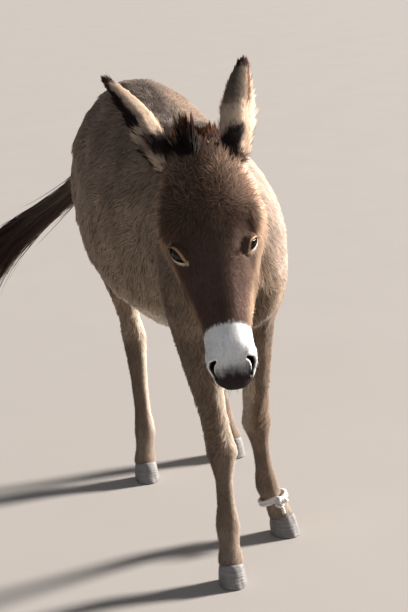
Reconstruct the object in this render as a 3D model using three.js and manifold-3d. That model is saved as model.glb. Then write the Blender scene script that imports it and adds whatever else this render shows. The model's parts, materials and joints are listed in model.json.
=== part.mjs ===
// A life-size donkey, standing with its head lowered and turned, as a set of closed solids.
// Millimetres, +Z up, floor at Z 0. The donkey faces -Y and its left side is +X.
// Every solid is the outer shape of the coat. The animal is lofted limb by limb through named
// stations, and each piece is then cut back from its neighbour by a small gap.
import * as THREE from "three";
import { mergeVertices } from "three/addons/utils/BufferGeometryUtils.js";
import Module from "manifold-3d";

const wasm = await Module();
wasm.setup();

// ---- Driving dimensions ----
const GAP = 0.35; // between two pieces parted by a cut
const ROOM = 0.6; // how much bigger a piece is as a cutter, so that its steep ends keep the gap too
const EYE_RADIUS = 17.5;
const EAR = { length: 258, root: 27, widest: 35, tip: 13, openest: 0.4, wall: 9, bow: 14 };
const HOOF = { toeHeight: 54, heelHeight: 34, toe: 40, heel: 34, width: 32, taper: 0.86, lean: 12 };
const TETHER = { radius: 4.5, reach: 33, along: 0.46, pitch: 7.5, tail: 24 };

// Where the joints of each leg are: [x, y, z]. `turn` is how far the toe points outwards.
const FORELEGS = {
  right: {
    scapula: [-82, -205, 885],
    shoulder: [-98, -368, 705],
    elbow: [-76, -308, 585],
    knee: [-42, -372, 317],
    fetlock: [-30, -340, 126],
    coronet: [-33, -361, 50],
    turn: 2,
  },
  left: {
    scapula: [64, -205, 885],
    shoulder: [74, -335, 712],
    elbow: [77, -246, 590],
    knee: [80, -212, 314],
    fetlock: [117, -138, 121],
    coronet: [142, -150, 50],
    turn: 40,
  },
};
const HINDLEGS = {
  right: {
    hip: [-134, 350, 858],
    thigh: [-150, 368, 705],
    stifle: [-132, 336, 590],
    hock: [-92, 350, 380],
    fetlock: [-86, 320, 124],
    coronet: [-95, 299, 50],
    turn: -2,
  },
  left: {
    hip: [34, 355, 858],
    thigh: [54, 390, 705],
    stifle: [70, 388, 590],
    hock: [98, 432, 388],
    fetlock: [140, 398, 128],
    coronet: [158, 384, 50],
    turn: 14,
  },
};

// The head hangs from the poll: its axis leans forward from straight down, and it is turned and tipped.
const HEAD_POSE = { poll: [-103, -580, 1021], lean: 36, turn: -12, tip: 5.8 };

// ---- Solids ----

function signedVolume(position, index) {
  const a = new THREE.Vector3();
  const b = new THREE.Vector3();
  const c = new THREE.Vector3();
  let sum = 0;
  for (let i = 0; i < index.length; i += 3) {
    a.fromBufferAttribute(position, index[i]);
    b.fromBufferAttribute(position, index[i + 1]);
    c.fromBufferAttribute(position, index[i + 2]);
    sum += a.dot(b.cross(c));
  }
  return sum / 6;
}

// A closed geometry from points and triangles, with its faces turned outwards.
function closedGeometry(points, triangles) {
  const geometry = new THREE.BufferGeometry();
  const flat = points.flatMap((p) => [p.x, p.y, p.z]);
  geometry.setAttribute("position", new THREE.Float32BufferAttribute(flat, 3));
  const index = triangles.flat();
  if (signedVolume(geometry.getAttribute("position"), index) < 0) index.reverse();
  geometry.setIndex(index);
  return geometry;
}

// A three.js geometry as a solid that can be joined and cut.
function solid(geometry) {
  const bare = geometry.clone();
  bare.deleteAttribute("normal");
  bare.deleteAttribute("uv");
  const merged = mergeVertices(bare, 1e-3);
  const mesh = new wasm.Mesh({
    numProp: 3,
    vertProperties: merged.getAttribute("position").array,
    triVerts: new Uint32Array(merged.index.array),
  });
  return new wasm.Manifold(mesh);
}

// Everything in `cutters` taken out of a shape.
function without(shape, ...cutters) {
  return cutters.reduce((rest, cutter) => rest.subtract(cutter), shape);
}

// A shape parted by a plane through `at`, as [the part ahead of it, the part behind it].
function parted(shape, at, normal) {
  const n = new THREE.Vector3(...normal).normalize();
  const distance = n.dot(new THREE.Vector3(...at));
  return [
    shape.trimByPlane(n.toArray(), distance + GAP / 2),
    shape.trimByPlane(n.clone().negate().toArray(), GAP / 2 - distance),
  ];
}

// The largest single body of a solid, as a geometry. Slivers left by a cut are dropped.
function largestBody(shape) {
  const bodies = shape.decompose().sort((a, b) => b.volume() - a.volume());
  const mesh = bodies[0].getMesh();
  const geometry = new THREE.BufferGeometry();
  const position = new Float32Array(mesh.numVert * 3);
  for (let i = 0; i < mesh.numVert; i++) {
    for (let k = 0; k < 3; k++) {
      position[i * 3 + k] = mesh.vertProperties[i * mesh.numProp + k];
    }
  }
  geometry.setAttribute("position", new THREE.BufferAttribute(position, 3));
  geometry.setIndex(new THREE.BufferAttribute(mesh.triVerts, 1));
  return geometry;
}

// ---- Lofts ----

// A value between stations, on a smooth curve through them. u runs from 0 to the last station.
function smoothly(values, u) {
  const last = values.length - 1;
  const i = Math.min(Math.floor(u), last - 1);
  const f = u - i;
  const v = (k) => values[Math.min(Math.max(k, 0), last)];
  const slopeA = (v(i + 1) - v(i - 1)) / 2;
  const slopeB = (v(i + 2) - v(i)) / 2;
  const f2 = f * f;
  const f3 = f2 * f;
  return (
    v(i) * (2 * f3 - 3 * f2 + 1) + slopeA * (f3 - 2 * f2 + f) +
    v(i + 1) * (3 * f2 - 2 * f3) + slopeB * (f3 - f2)
  );
}

// A closed body lofted through stations. Each has a centre `at`, the half width `side`, the reach
// `up` and `down` across it, and may have `square` (corner fullness), and `crest` and `keel`, the
// share of the width kept towards the top and the bottom. `upward` is the way up points.
function loft(stations, upward, { sides = 16, steps = 2, grow = 0 } = {}) {
  const defaults = { square: 2.1, crest: 1, keel: 1 };
  const field = (name) => stations.map((s) => s[name] ?? defaults[name]);
  const axis = [0, 1, 2].map((k) => stations.map((s) => s.at[k]));
  const centreAt = (u) => new THREE.Vector3(...axis.map((values) => smoothly(values, u)));
  const ringCount = (stations.length - 1) * steps + 1;
  const points = [];
  const lastU = stations.length - 1;
  for (let r = 0; r < ringCount; r++) {
    const u = r / steps;
    const centre = centreAt(u);
    const ahead = centreAt(Math.min(u + 0.05, lastU));
    const behind = centreAt(Math.max(u - 0.05, 0));
    const along = ahead.sub(behind).normalize();
    const lateral = new THREE.Vector3().crossVectors(along, upward).normalize();
    const rise = new THREE.Vector3().crossVectors(lateral, along).normalize();
    if (r === 0) centre.addScaledVector(along, -grow);
    if (r === ringCount - 1) centre.addScaledVector(along, grow);
    const side = smoothly(field("side"), u) + grow;
    const up = smoothly(field("up"), u) + grow;
    const down = smoothly(field("down"), u) + grow;
    const power = 2 / smoothly(field("square"), u);
    const crest = smoothly(field("crest"), u);
    const keel = smoothly(field("keel"), u);
    for (let k = 0; k < sides; k++) {
      const angle = (k / sides) * 2 * Math.PI;
      const c = Math.cos(angle);
      const s = Math.sin(angle);
      const narrowing = 1 - (1 - (s > 0 ? crest : keel)) * s * s;
      const x = side * Math.sign(c) * Math.abs(c) ** power * narrowing;
      const y = (s > 0 ? up : down) * Math.sign(s) * Math.abs(s) ** power;
      points.push(centre.clone().addScaledVector(lateral, x).addScaledVector(rise, y));
    }
  }
  return tube(points, sides, ringCount);
}

// A fan of triangles over a convex ring of points.
function fanCap(points, first, sides) {
  const hubPoint = new THREE.Vector3();
  for (let k = 0; k < sides; k++) hubPoint.add(points[first + k]);
  const hub = points.push(hubPoint.divideScalar(sides)) - 1;
  return Array.from({ length: sides }, (_, k) => [hub, first + k, first + ((k + 1) % sides)]);
}

// Triangles across a ring that goes out along one side of a bent strip and back along the other.
function stripCap(points, first, sides) {
  return Array.from({ length: sides / 2 - 1 }, (_, k) => {
    const [a, b] = [first + k, first + k + 1];
    const [c, d] = [first + sides - 1 - k, first + sides - 2 - k];
    return [[a, b, d], [a, d, c]];
  }).flat();
}

// Rings of points joined into a tube, with a cap over each end.
function tube(points, sides, ringCount, cap = fanCap) {
  const triangles = [];
  for (let r = 0; r < ringCount - 1; r++) {
    for (let k = 0; k < sides; k++) {
      const a = r * sides + k;
      const b = r * sides + ((k + 1) % sides);
      triangles.push([a, b, b + sides], [a, b + sides, a + sides]);
    }
  }
  triangles.push(...cap(points, (ringCount - 1) * sides, sides));
  triangles.push(...cap(points, 0, sides).map(([a, b, c]) => [c, b, a]));
  return closedGeometry(points, triangles);
}

function ellipsoid(centre, radii, segments = 9) {
  const ball = new THREE.SphereGeometry(1, segments, Math.round(segments * 0.6));
  return ball.scale(...radii).translate(...centre);
}

// ---- Trunk and neck ----

const UP = new THREE.Vector3(0, 0, 1);
const FORWARD = new THREE.Vector3(0, -1, 0);

const TRUNK_STATIONS = [
  { at: [0, -468, 690], side: 36, up: 50, down: 46 },
  { at: [0, -446, 694], side: 84, up: 104, down: 90 },
  { at: [0, -390, 708], side: 120, up: 180, down: 150, keel: 0.9 },
  { at: [0, -300, 738], side: 142, up: 248, down: 204, crest: 0.62, keel: 0.85 },
  { at: [-4, -200, 748], side: 164, up: 262, down: 228, crest: 0.54, keel: 0.85 },
  { at: [-13, -100, 742], side: 190, up: 256, down: 236, crest: 0.7, keel: 0.92 },
  { at: [-18, 0, 732], side: 209, up: 259, down: 230, crest: 0.83 },
  { at: [-23, 100, 730], side: 216, up: 266, down: 224, crest: 0.89 },
  { at: [-30, 200, 746], side: 211, up: 268, down: 212, crest: 0.89 },
  { at: [-37, 300, 774], side: 198, up: 266, down: 192, crest: 0.89 },
  { at: [-45, 390, 800], side: 180, up: 252, down: 174, crest: 0.88 },
  { at: [-52, 470, 812], side: 150, up: 208, down: 156, crest: 0.84 },
  { at: [-52, 535, 816], side: 104, up: 140, down: 126 },
  { at: [-50, 566, 816], side: 44, up: 58, down: 60 },
];

const NECK_STATIONS = [
  { at: [0, -190, 800], side: 112, up: 196, down: 190, crest: 0.5 },
  { at: [-4, -290, 812], side: 112, up: 190, down: 190, crest: 0.45, keel: 0.9 },
  { at: [-18, -370, 838], side: 100, up: 170, down: 160, crest: 0.45, keel: 0.9 },
  { at: [-42, -450, 872], side: 86, up: 144, down: 132, crest: 0.5 },
  { at: [-66, -520, 906], side: 76, up: 118, down: 112, crest: 0.55 },
  { at: [-82, -585, 936], side: 70, up: 92, down: 92, crest: 0.7 },
];

// The mane stands up along the crest of the neck and ends in a tuft between the ears.
const MANE_STATIONS = [
  { at: [0, -215, 990], side: 12, up: 26, down: 34, crest: 0.5 },
  { at: [-10, -300, 992], side: 17, up: 46, down: 40, crest: 0.5 },
  { at: [-34, -380, 1002], side: 20, up: 52, down: 44, crest: 0.55 },
  { at: [-68, -455, 1012], side: 24, up: 56, down: 46, crest: 0.7 },
  { at: [-98, -515, 1018], side: 30, up: 58, down: 46, crest: 0.95 },
  { at: [-110, -552, 1022], side: 33, up: 54, down: 42, crest: 1 },
  { at: [-114, -576, 1022], side: 20, up: 34, down: 26, crest: 0.8 },
];

// ---- Head, in its own frame: X to its right, Y from the poll to the lips, Z out of the forehead ----

const FOREHEAD = new THREE.Vector3(0, 0, 1);

const HEAD_STATIONS = [
  { at: [0, -24, -66], side: 42, up: 44, down: 46 },
  { at: [0, 6, -68], side: 68, up: 68, down: 70, square: 2.2 },
  { at: [0, 52, -76], side: 88, up: 86, down: 100, square: 2.3, keel: 0.76 },
  { at: [0, 98, -84], side: 99, up: 99, down: 118, square: 2.3, keel: 0.64 },
  { at: [0, 142, -86], side: 102, up: 102, down: 124, square: 2.2, keel: 0.58 },
  { at: [0, 189, -84], side: 92, up: 97, down: 118, square: 2.15, keel: 0.58 },
  { at: [0, 232, -79], side: 79, up: 87, down: 98, square: 2.15, keel: 0.62 },
  { at: [0, 274, -74], side: 67, up: 77, down: 78, square: 2.15, keel: 0.7 },
  { at: [0, 318, -69], side: 55, up: 66, down: 62, square: 2.2, keel: 0.8 },
  { at: [0, 358, -65], side: 47, up: 57, down: 52, square: 2.2, keel: 0.85 },
  { at: [0, 396, -62], side: 47, up: 51, down: 47, square: 2.3, keel: 0.9 },
  { at: [0, 428, -63], side: 44, up: 43, down: 42, square: 2.3 },
  { at: [0, 452, -66], side: 32, up: 30, down: 31 },
  { at: [0, 464, -68], side: 14, up: 14, down: 15 },
];

// Rounded forms on both sides of the head.
const HEAD_SWELLINGS = [
  { at: [75, 142, -36], size: [27, 44, 34] }, // brow ridge
  { at: [46, 130, -122], size: [34, 80, 72] }, // jowl
  { at: [60, 222, -72], size: [20, 62, 18] }, // cheekbone
  { at: [31, 408, -46], size: [19, 32, 28] }, // nostril wing
];
const CHIN = { at: [0, 422, -94], size: [26, 30, 20] };
const EYE_AT = [63, 199, -30];

function headFrame() {
  const { poll, lean, turn, tip } = HEAD_POSE;
  const radians = THREE.MathUtils.degToRad;
  const hanging = new THREE.Matrix4().makeBasis(
    new THREE.Vector3(-1, 0, 0),
    new THREE.Vector3(0, 0, -1),
    new THREE.Vector3(0, -1, 0),
  );
  return new THREE.Matrix4()
    .makeTranslation(...poll)
    .multiply(new THREE.Matrix4().makeRotationZ(radians(turn)))
    .multiply(new THREE.Matrix4().makeRotationY(radians(-tip)))
    .multiply(new THREE.Matrix4().makeRotationX(radians(-lean)))
    .multiply(hanging);
}
const inHead = headFrame();

function headSolid(grow) {
  const rounded = ({ at, size }, way) => {
    const centre = [at[0] * way, at[1], at[2]];
    return solid(ellipsoid(centre, size.map((radius) => radius + grow)).applyMatrix4(inHead));
  };
  let shape = solid(loft(HEAD_STATIONS, FOREHEAD, { sides: 16, grow }).applyMatrix4(inHead));
  for (const swelling of HEAD_SWELLINGS) {
    for (const way of [-1, 1]) shape = shape.add(rounded(swelling, way));
  }
  return shape.add(rounded(CHIN, 1));
}

function eyeSolid(way, grow) {
  const radius = EYE_RADIUS + grow;
  const centre = [EYE_AT[0] * way, EYE_AT[1], EYE_AT[2]];
  return solid(ellipsoid(centre, [radius, radius, radius], 12).applyMatrix4(inHead));
}

// ---- Ears ----

// Each ear is a rolled leaf: a nearly closed tube at its root, opening to a shallow cup, with a
// rounded point. It grows from `root` along `axis`, and its cup faces away from `back`.
const EARS = {
  right: { root: [50, 10, -34], axis: [0.44, -0.9, -0.16], back: [-0.75, 0, 0.66] },
  left: { root: [-60, 8, -34], axis: [-0.21, -0.93, -0.3], back: [0.3, 0, 0.93] },
};

function earSolid({ root, axis, back }) {
  const along = new THREE.Vector3(...axis).normalize();
  const lateral = new THREE.Vector3().crossVectors(along, new THREE.Vector3(...back)).normalize();
  const outward = new THREE.Vector3().crossVectors(lateral, along).normalize();
  const rings = 10;
  const arcPoints = 7;
  const points = [];
  for (let r = 0; r < rings; r++) {
    const t = r / (rings - 1);
    const beyond = (t - EAR.openest) / (1 - EAR.openest);
    const halfWidth = beyond < 0
      ? EAR.root + (EAR.widest - EAR.root) * Math.sin((t / EAR.openest) * Math.PI / 2)
      : EAR.tip + (EAR.widest - EAR.tip) * Math.cos(beyond * Math.PI / 2) ** 0.9;
    const opening = THREE.MathUtils.lerp(0.86, 0.46, Math.min(t / 0.6, 1)) * Math.PI;
    const radius = halfWidth / Math.sin(Math.min(opening, Math.PI / 2));
    const wall = Math.min(EAR.wall, halfWidth * 0.6);
    const centre = new THREE.Vector3(...root)
      .addScaledVector(along, t * EAR.length)
      .addScaledVector(outward, EAR.bow * Math.sin(Math.PI * t) - radius * 0.6);
    const arc = (share, distance) => {
      const angle = opening * share;
      const point = centre.clone().addScaledVector(lateral, distance * Math.sin(angle));
      points.push(point.addScaledVector(outward, distance * Math.cos(angle)));
    };
    for (let k = 0; k < arcPoints; k++) arc((2 * k) / (arcPoints - 1) - 1, radius);
    for (let k = arcPoints - 1; k >= 0; k--) arc(0.98 * ((2 * k) / (arcPoints - 1) - 1), radius - wall);
  }
  return solid(tube(points, arcPoints * 2, rings, stripCap).applyMatrix4(inHead));
}

// ---- Legs ----

// Sections of a leg: how far they are from one joint to the next, and their size there.
const FORELEG_SECTIONS = [
  { joint: "scapula", to: 0, side: 34, up: 56, down: 66 },
  { joint: "scapula", to: 0.5, side: 50, up: 78, down: 96 },
  { joint: "shoulder", to: 0.05, side: 58, up: 76, down: 108 },
  { joint: "shoulder", to: 0.6, side: 56, up: 70, down: 88 },
  { joint: "elbow", to: 0.05, side: 50, up: 60, down: 72 },
  { joint: "elbow", to: 0.35, side: 42, up: 48, down: 52 },
  { joint: "elbow", to: 0.7, side: 33, up: 36, down: 38 },
  { joint: "elbow", to: 0.92, side: 34, up: 34, down: 35 },
  { joint: "knee", to: 0.0, side: 36, up: 34, down: 35 },
  { joint: "knee", to: 0.16, side: 29, up: 26, down: 32 },
  { joint: "knee", to: 0.4, side: 21, up: 21, down: 29 },
  { joint: "knee", to: 0.75, side: 22, up: 21, down: 29 },
  { joint: "fetlock", to: 0.0, side: 29, up: 26, down: 35 },
  { joint: "fetlock", to: 0.5, side: 25, up: 25, down: 27 },
  { joint: "fetlock", to: 0.95, side: 30, up: 32, down: 31 },
  { joint: "fetlock", to: 1.4, side: 31, up: 34, down: 32 },
];
const HINDLEG_SECTIONS = [
  { joint: "hip", to: 0, side: 44, up: 100, down: 110 },
  { joint: "hip", to: 0.5, side: 62, up: 128, down: 136 },
  { joint: "thigh", to: 0, side: 68, up: 126, down: 138 },
  { joint: "thigh", to: 0.6, side: 62, up: 96, down: 118 },
  { joint: "stifle", to: 0.1, side: 50, up: 72, down: 88 },
  { joint: "stifle", to: 0.4, side: 38, up: 50, down: 58 },
  { joint: "stifle", to: 0.75, side: 30, up: 36, down: 46 },
  { joint: "hock", to: 0.0, side: 33, up: 35, down: 50 },
  { joint: "hock", to: 0.18, side: 29, up: 30, down: 36 },
  { joint: "hock", to: 0.5, side: 23, up: 23, down: 30 },
  { joint: "hock", to: 0.8, side: 23, up: 23, down: 30 },
  { joint: "fetlock", to: 0.0, side: 29, up: 27, down: 35 },
  { joint: "fetlock", to: 0.5, side: 25, up: 25, down: 27 },
  { joint: "fetlock", to: 0.95, side: 30, up: 32, down: 31 },
  { joint: "fetlock", to: 1.4, side: 31, up: 34, down: 32 },
];

function legStations(joints, sections) {
  const names = Object.keys(joints).filter((name) => Array.isArray(joints[name]));
  return sections.map(({ joint, to, ...size }) => {
    const from = new THREE.Vector3(...joints[joint]);
    const next = joints[names[names.indexOf(joint) + 1]] ?? joints[joint];
    return { at: from.lerp(new THREE.Vector3(...next), to).toArray(), ...size };
  });
}

// The whole leg in one length, and the same leg parted into `names` at its joints.
function legPieces(joints, sections, bend, outward) {
  const { fetlock, coronet } = joints;
  const whole = solid(loft(legStations(joints, sections), FORWARD, { sides: 10 }));
  const ahead = toeDirection(joints.turn, outward);
  const [lower, upper] = parted(whole, joints[bend], direction(joints[bend], fetlock));
  const [foot, cannon] = parted(lower, fetlock, direction(joints[bend], coronet));
  const [pastern] = parted(foot, coronetMiddle(coronet), coronetNormal(ahead));
  return { upper, cannon, pastern, hoof: hoofSolid(coronet, ahead) };
}

function direction(from, to) {
  return to.map((value, k) => value - from[k]);
}

// Which way a toe points, turned `turn` degrees out from straight ahead.
function toeDirection(turn, outward) {
  const angle = THREE.MathUtils.degToRad(turn) * outward;
  return new THREE.Vector3(Math.sin(angle), -Math.cos(angle), 0);
}

// The top of a hoof is a plane that slopes from its toe down to its heel.
function coronetMiddle(coronet) {
  return [coronet[0], coronet[1], (HOOF.toeHeight + HOOF.heelHeight) / 2];
}

function coronetNormal(ahead) {
  const slope = (HOOF.toeHeight - HOOF.heelHeight) / (HOOF.toe + HOOF.heel);
  return [-slope * ahead.x, -slope * ahead.y, 1];
}

// A hoof stands on its flat sole at Z 0 and leans back from it to the coronet.
function hoofSolid(coronet, ahead) {
  const heights = [0, 0.12, 1];
  const sides = 16;
  const across = new THREE.Vector3(-ahead.y, ahead.x, 0);
  const points = [];
  for (const h of heights) {
    const spread = THREE.MathUtils.lerp(1, HOOF.taper, h);
    const middle = new THREE.Vector3(coronet[0], coronet[1], h * (HOOF.toeHeight + 10));
    middle.addScaledVector(ahead, HOOF.lean * (1 - h));
    for (let k = 0; k < sides; k++) {
      const angle = (k / sides) * 2 * Math.PI;
      const s = Math.sin(angle);
      const reach = (s > 0 ? HOOF.toe : HOOF.heel) * Math.sign(s) * Math.abs(s) ** 0.9;
      const point = middle.clone().addScaledVector(across, HOOF.width * Math.cos(angle) * spread);
      points.push(point.addScaledVector(ahead, reach * spread));
    }
  }
  const block = solid(tube(points, sides, heights.length));
  const [, hoof] = parted(block, coronetMiddle(coronet), coronetNormal(ahead));
  return hoof;
}

// ---- Tail: a haired dock, and the switch of long hair that goes on from it ----

const TAIL_UPWARD = new THREE.Vector3(-0.5, 0.3, 0.8);
const TAIL_STATIONS = [
  { at: [-48, 505, 930], side: 38, up: 34, down: 30 },
  { at: [-62, 568, 888], side: 33, up: 31, down: 30 },
  { at: [-112, 600, 806], side: 29, up: 29, down: 29 },
  { at: [-182, 604, 728], side: 28, up: 30, down: 30 },
  { at: [-256, 602, 676], side: 29, up: 35, down: 32 },
  { at: [-332, 598, 628], side: 31, up: 43, down: 40 },
  { at: [-404, 592, 570], side: 31, up: 50, down: 46 },
  { at: [-460, 584, 500], side: 26, up: 48, down: 44 },
  { at: [-494, 576, 424], side: 17, up: 32, down: 30 },
  { at: [-508, 570, 362], side: 6, up: 10, down: 10 },
];
const DOCK_END = 3; // the station where the dock passes into the switch

// ---- Tether: two turns of rope round the left fore pastern, and their knot at its front ----

const KNOT = { out: [0.25, -1, 0.1], lobe: [15, 9, 10], spread: 9 };

function tetherFrame(joints) {
  const fetlock = new THREE.Vector3(...joints.fetlock);
  const coronet = new THREE.Vector3(...joints.coronet);
  const axis = coronet.clone().sub(fetlock).normalize();
  return { middle: fetlock.lerp(coronet, TETHER.along), axis };
}

function tetherTurns(joints, grow) {
  const { middle, axis } = tetherFrame(joints);
  const turned = new THREE.Quaternion().setFromUnitVectors(UP, axis);
  const turns = [-0.5, 0.5].map((turn) => {
    const ring = new THREE.TorusGeometry(TETHER.reach, TETHER.radius + grow, 6, 13);
    const at = middle.clone().addScaledVector(axis, turn * TETHER.pitch);
    return solid(ring.applyQuaternion(turned).translate(at.x, at.y, at.z));
  });
  return turns[0].add(turns[1]);
}

// Two crossed lobes, and the short end of the rope hanging from them.
function tetherKnot(joints) {
  const { middle } = tetherFrame(joints);
  const out = new THREE.Vector3(...KNOT.out).normalize();
  const at = middle.clone().addScaledVector(out, TETHER.reach + KNOT.spread);
  const lobe = (tilt) => {
    const shape = ellipsoid([0, 0, 0], KNOT.lobe);
    return solid(shape.rotateY(THREE.MathUtils.degToRad(tilt)).translate(at.x, at.y, at.z));
  };
  const end = [0, 0.5, 1].map((share) => ({
    at: [at.x + 10 * share, at.y - 5 * share, at.z - TETHER.tail * share],
    side: TETHER.radius,
    up: TETHER.radius,
    down: TETHER.radius,
  }));
  return lobe(35).add(lobe(-40)).add(solid(loft(end, FORWARD, { sides: 6, steps: 1 })));
}

// ---- The model ----

const group = new THREE.Group();

function addNode(name, shape, material) {
  const mesh = new THREE.Mesh(largestBody(shape), material);
  mesh.name = name;
  group.add(mesh);
  return mesh;
}

const coat = new THREE.MeshStandardMaterial({ color: 0x8a7a6c, roughness: 0.95, metalness: 0 });
const darkHair = new THREE.MeshStandardMaterial({ color: 0x2e231f, roughness: 0.9, metalness: 0 });
const horn = new THREE.MeshStandardMaterial({ color: 0x9a958e, roughness: 0.6, metalness: 0 });
const eyeball = new THREE.MeshStandardMaterial({ color: 0x1c1310, roughness: 0.1, metalness: 0 });
const rope = new THREE.MeshStandardMaterial({ color: 0xe6e2dc, roughness: 0.9, metalness: 0 });

const trunk = (grow) => solid(loft(TRUNK_STATIONS, UP, { sides: 18, grow }));
const neck = (grow) => solid(loft(NECK_STATIONS, UP, { sides: 14, grow }));
const mane = (grow) => solid(loft(MANE_STATIONS, UP, { sides: 10, grow }));
const eyes = (grow) => [eyeSolid(1, grow), eyeSolid(-1, grow)];
const trunkRoom = trunk(ROOM);
const neckRoom = neck(ROOM);
const headRoom = headSolid(ROOM);
const maneRoom = mane(ROOM);

addNode("trunk", trunk(0), coat);
addNode("neck", without(neck(0), trunkRoom, headRoom), coat);
addNode("mane", without(mane(0), trunkRoom, neckRoom, headRoom), darkHair);
addNode("head", without(headSolid(0), ...eyes(ROOM)), coat);
addNode("eye_right", eyes(0)[0], eyeball);
addNode("eye_left", eyes(0)[1], eyeball);
for (const [name, ear] of Object.entries(EARS)) {
  addNode("ear_" + name, without(earSolid(ear), headRoom, neckRoom, maneRoom), coat);
}

const LEGS = [
  { upper: "foreleg", prefix: "fore", joints: FORELEGS, sections: FORELEG_SECTIONS, bend: "knee" },
  { upper: "thigh", prefix: "hind", joints: HINDLEGS, sections: HINDLEG_SECTIONS, bend: "hock" },
];
for (const { upper, prefix, joints, sections, bend } of LEGS) {
  for (const [side, outward] of [["right", -1], ["left", 1]]) {
    const leg = legPieces(joints[side], sections, bend, outward);
    addNode(`${upper}_${side}`, without(leg.upper, trunkRoom, neckRoom), coat);
    addNode(`${prefix}_cannon_${side}`, leg.cannon, coat);
    addNode(`${prefix}_pastern_${side}`, leg.pastern, coat);
    addNode(`${prefix}_hoof_${side}`, leg.hoof, horn);
  }
}

const turnsRoom = tetherTurns(FORELEGS.left, ROOM);
const tetheredLeg = legStations(FORELEGS.left, FORELEG_SECTIONS);
const pasternRoom = solid(loft(tetheredLeg, FORWARD, { sides: 10, grow: ROOM }));
addNode("tether_turns", without(tetherTurns(FORELEGS.left, 0), pasternRoom), rope);
addNode("tether_knot", without(tetherKnot(FORELEGS.left), turnsRoom, pasternRoom), rope);

const tail = solid(loft(TAIL_STATIONS, TAIL_UPWARD, { sides: 12 }));
const dockEnd = TAIL_STATIONS[DOCK_END].at;
const [tailSwitch, dock] = parted(tail, dockEnd, direction(dockEnd, TAIL_STATIONS[DOCK_END + 1].at));
addNode("tail_dock", without(dock, trunkRoom), coat);
addNode("tail_switch", tailSwitch, darkHair);

// The origin is on the floor under the middle of the model.
const extent = new THREE.Box3().setFromObject(group, true);
const middle = extent.getCenter(new THREE.Vector3());
group.position.set(-middle.x, -middle.y, -extent.min.z);

export default group;
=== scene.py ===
# A life-size standing donkey: one skin, its coat, eyes, hooves, mane, tail and tether.
# Metres, +Z up. The donkey faces -Y and its own left side is +X.
import json
import math

import bmesh
import bpy
import numpy as np
from mathutils import Matrix, Vector
from mathutils.kdtree import KDTree

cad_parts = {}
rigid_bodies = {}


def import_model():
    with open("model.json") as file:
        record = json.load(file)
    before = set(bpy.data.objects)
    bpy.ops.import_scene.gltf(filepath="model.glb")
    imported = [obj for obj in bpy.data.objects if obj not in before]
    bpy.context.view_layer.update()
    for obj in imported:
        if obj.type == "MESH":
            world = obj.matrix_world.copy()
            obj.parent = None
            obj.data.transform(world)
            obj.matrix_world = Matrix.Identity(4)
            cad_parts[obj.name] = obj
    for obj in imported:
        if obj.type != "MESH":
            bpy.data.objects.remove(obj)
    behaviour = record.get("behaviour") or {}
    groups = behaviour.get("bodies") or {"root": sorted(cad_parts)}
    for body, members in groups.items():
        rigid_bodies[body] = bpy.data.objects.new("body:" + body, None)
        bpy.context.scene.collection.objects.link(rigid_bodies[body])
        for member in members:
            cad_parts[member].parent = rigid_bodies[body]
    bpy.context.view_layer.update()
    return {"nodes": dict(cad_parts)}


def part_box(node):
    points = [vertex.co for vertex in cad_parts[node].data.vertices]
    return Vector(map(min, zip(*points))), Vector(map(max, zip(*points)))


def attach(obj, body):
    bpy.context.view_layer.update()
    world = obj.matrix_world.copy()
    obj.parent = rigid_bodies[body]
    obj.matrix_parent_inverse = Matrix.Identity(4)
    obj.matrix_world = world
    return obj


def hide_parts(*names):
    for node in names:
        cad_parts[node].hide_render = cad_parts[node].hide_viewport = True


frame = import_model()
nodes = frame["nodes"]
mm = 0.001
sides = {"right": 1, "left": -1}  # the head's own X axis points to its right
print("frame loaded:", len(nodes), "nodes")


# Small maths on arrays of points

def unit(vectors):
    return vectors / np.maximum(np.linalg.norm(vectors, axis=-1, keepdims=True), 1e-12)


def ramp(values, low, high):
    t = np.clip((np.asarray(values, float) - low) / (high - low), 0, 1)
    return t * t * (3 - 2 * t)


def blend(a, b, share):
    share = np.asarray(share, float)[..., None]
    return a * (1 - share) + b * share


def ripple(points, size, seed, waves=9):
    # a smooth random field, about -1 to 1, whose bumps are about size across
    rng = np.random.default_rng(seed)
    ways = unit(rng.normal(size=(waves, 3))) * rng.uniform(0.6, 1.5, (waves, 1))
    phases = rng.uniform(0, 2 * math.pi, waves)
    return np.sin(points @ ways.T * (math.pi / size) + phases).sum(1) * math.sqrt(2 / waves) * 0.7


def paint(red, green, blue):
    # a colour given as 0-255 display values, as linear light
    values = np.array([red, green, blue]) / 255
    return np.where(values <= 0.04045, values / 12.92, ((values + 0.055) / 1.055) ** 2.4)


def onPlane(vectors, normals):
    return unit(vectors - (vectors * normals).sum(1, keepdims=True) * normals)


# The head's own frame: X to its right, Y from the poll to the lips, Z out of the forehead.
# In it, places are millimetres from the poll.

headPose = {"poll": (-103, -580, 1021), "lean": 36, "turn": -12, "tip": 5.8}
eyeInHead = (63, 199, -30)

headTurn = (
    Matrix.Rotation(math.radians(headPose["turn"]), 3, "Z")
    @ Matrix.Rotation(math.radians(-headPose["tip"]), 3, "Y")
    @ Matrix.Rotation(math.radians(-headPose["lean"]), 3, "X")
    @ Matrix(((-1, 0, 0), (0, 0, -1), (0, -1, 0)))
)
headAxes = np.array(headTurn)
eyeLow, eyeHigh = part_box("eye_right")
eyeMiddle = np.array((eyeLow + eyeHigh) / 2)
poll = eyeMiddle - headAxes @ np.array(eyeInHead) * mm
partShift = poll - np.array(headPose["poll"]) * mm  # from the part's drawing to the frame


def headPlace(points):
    return (points - poll) @ headAxes / mm


def fromHead(point):
    return poll + headAxes @ np.array(point, float) * mm


def fromPart(points):
    return np.asarray(points, float) * mm + partShift


# Meshes to and from arrays

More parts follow.
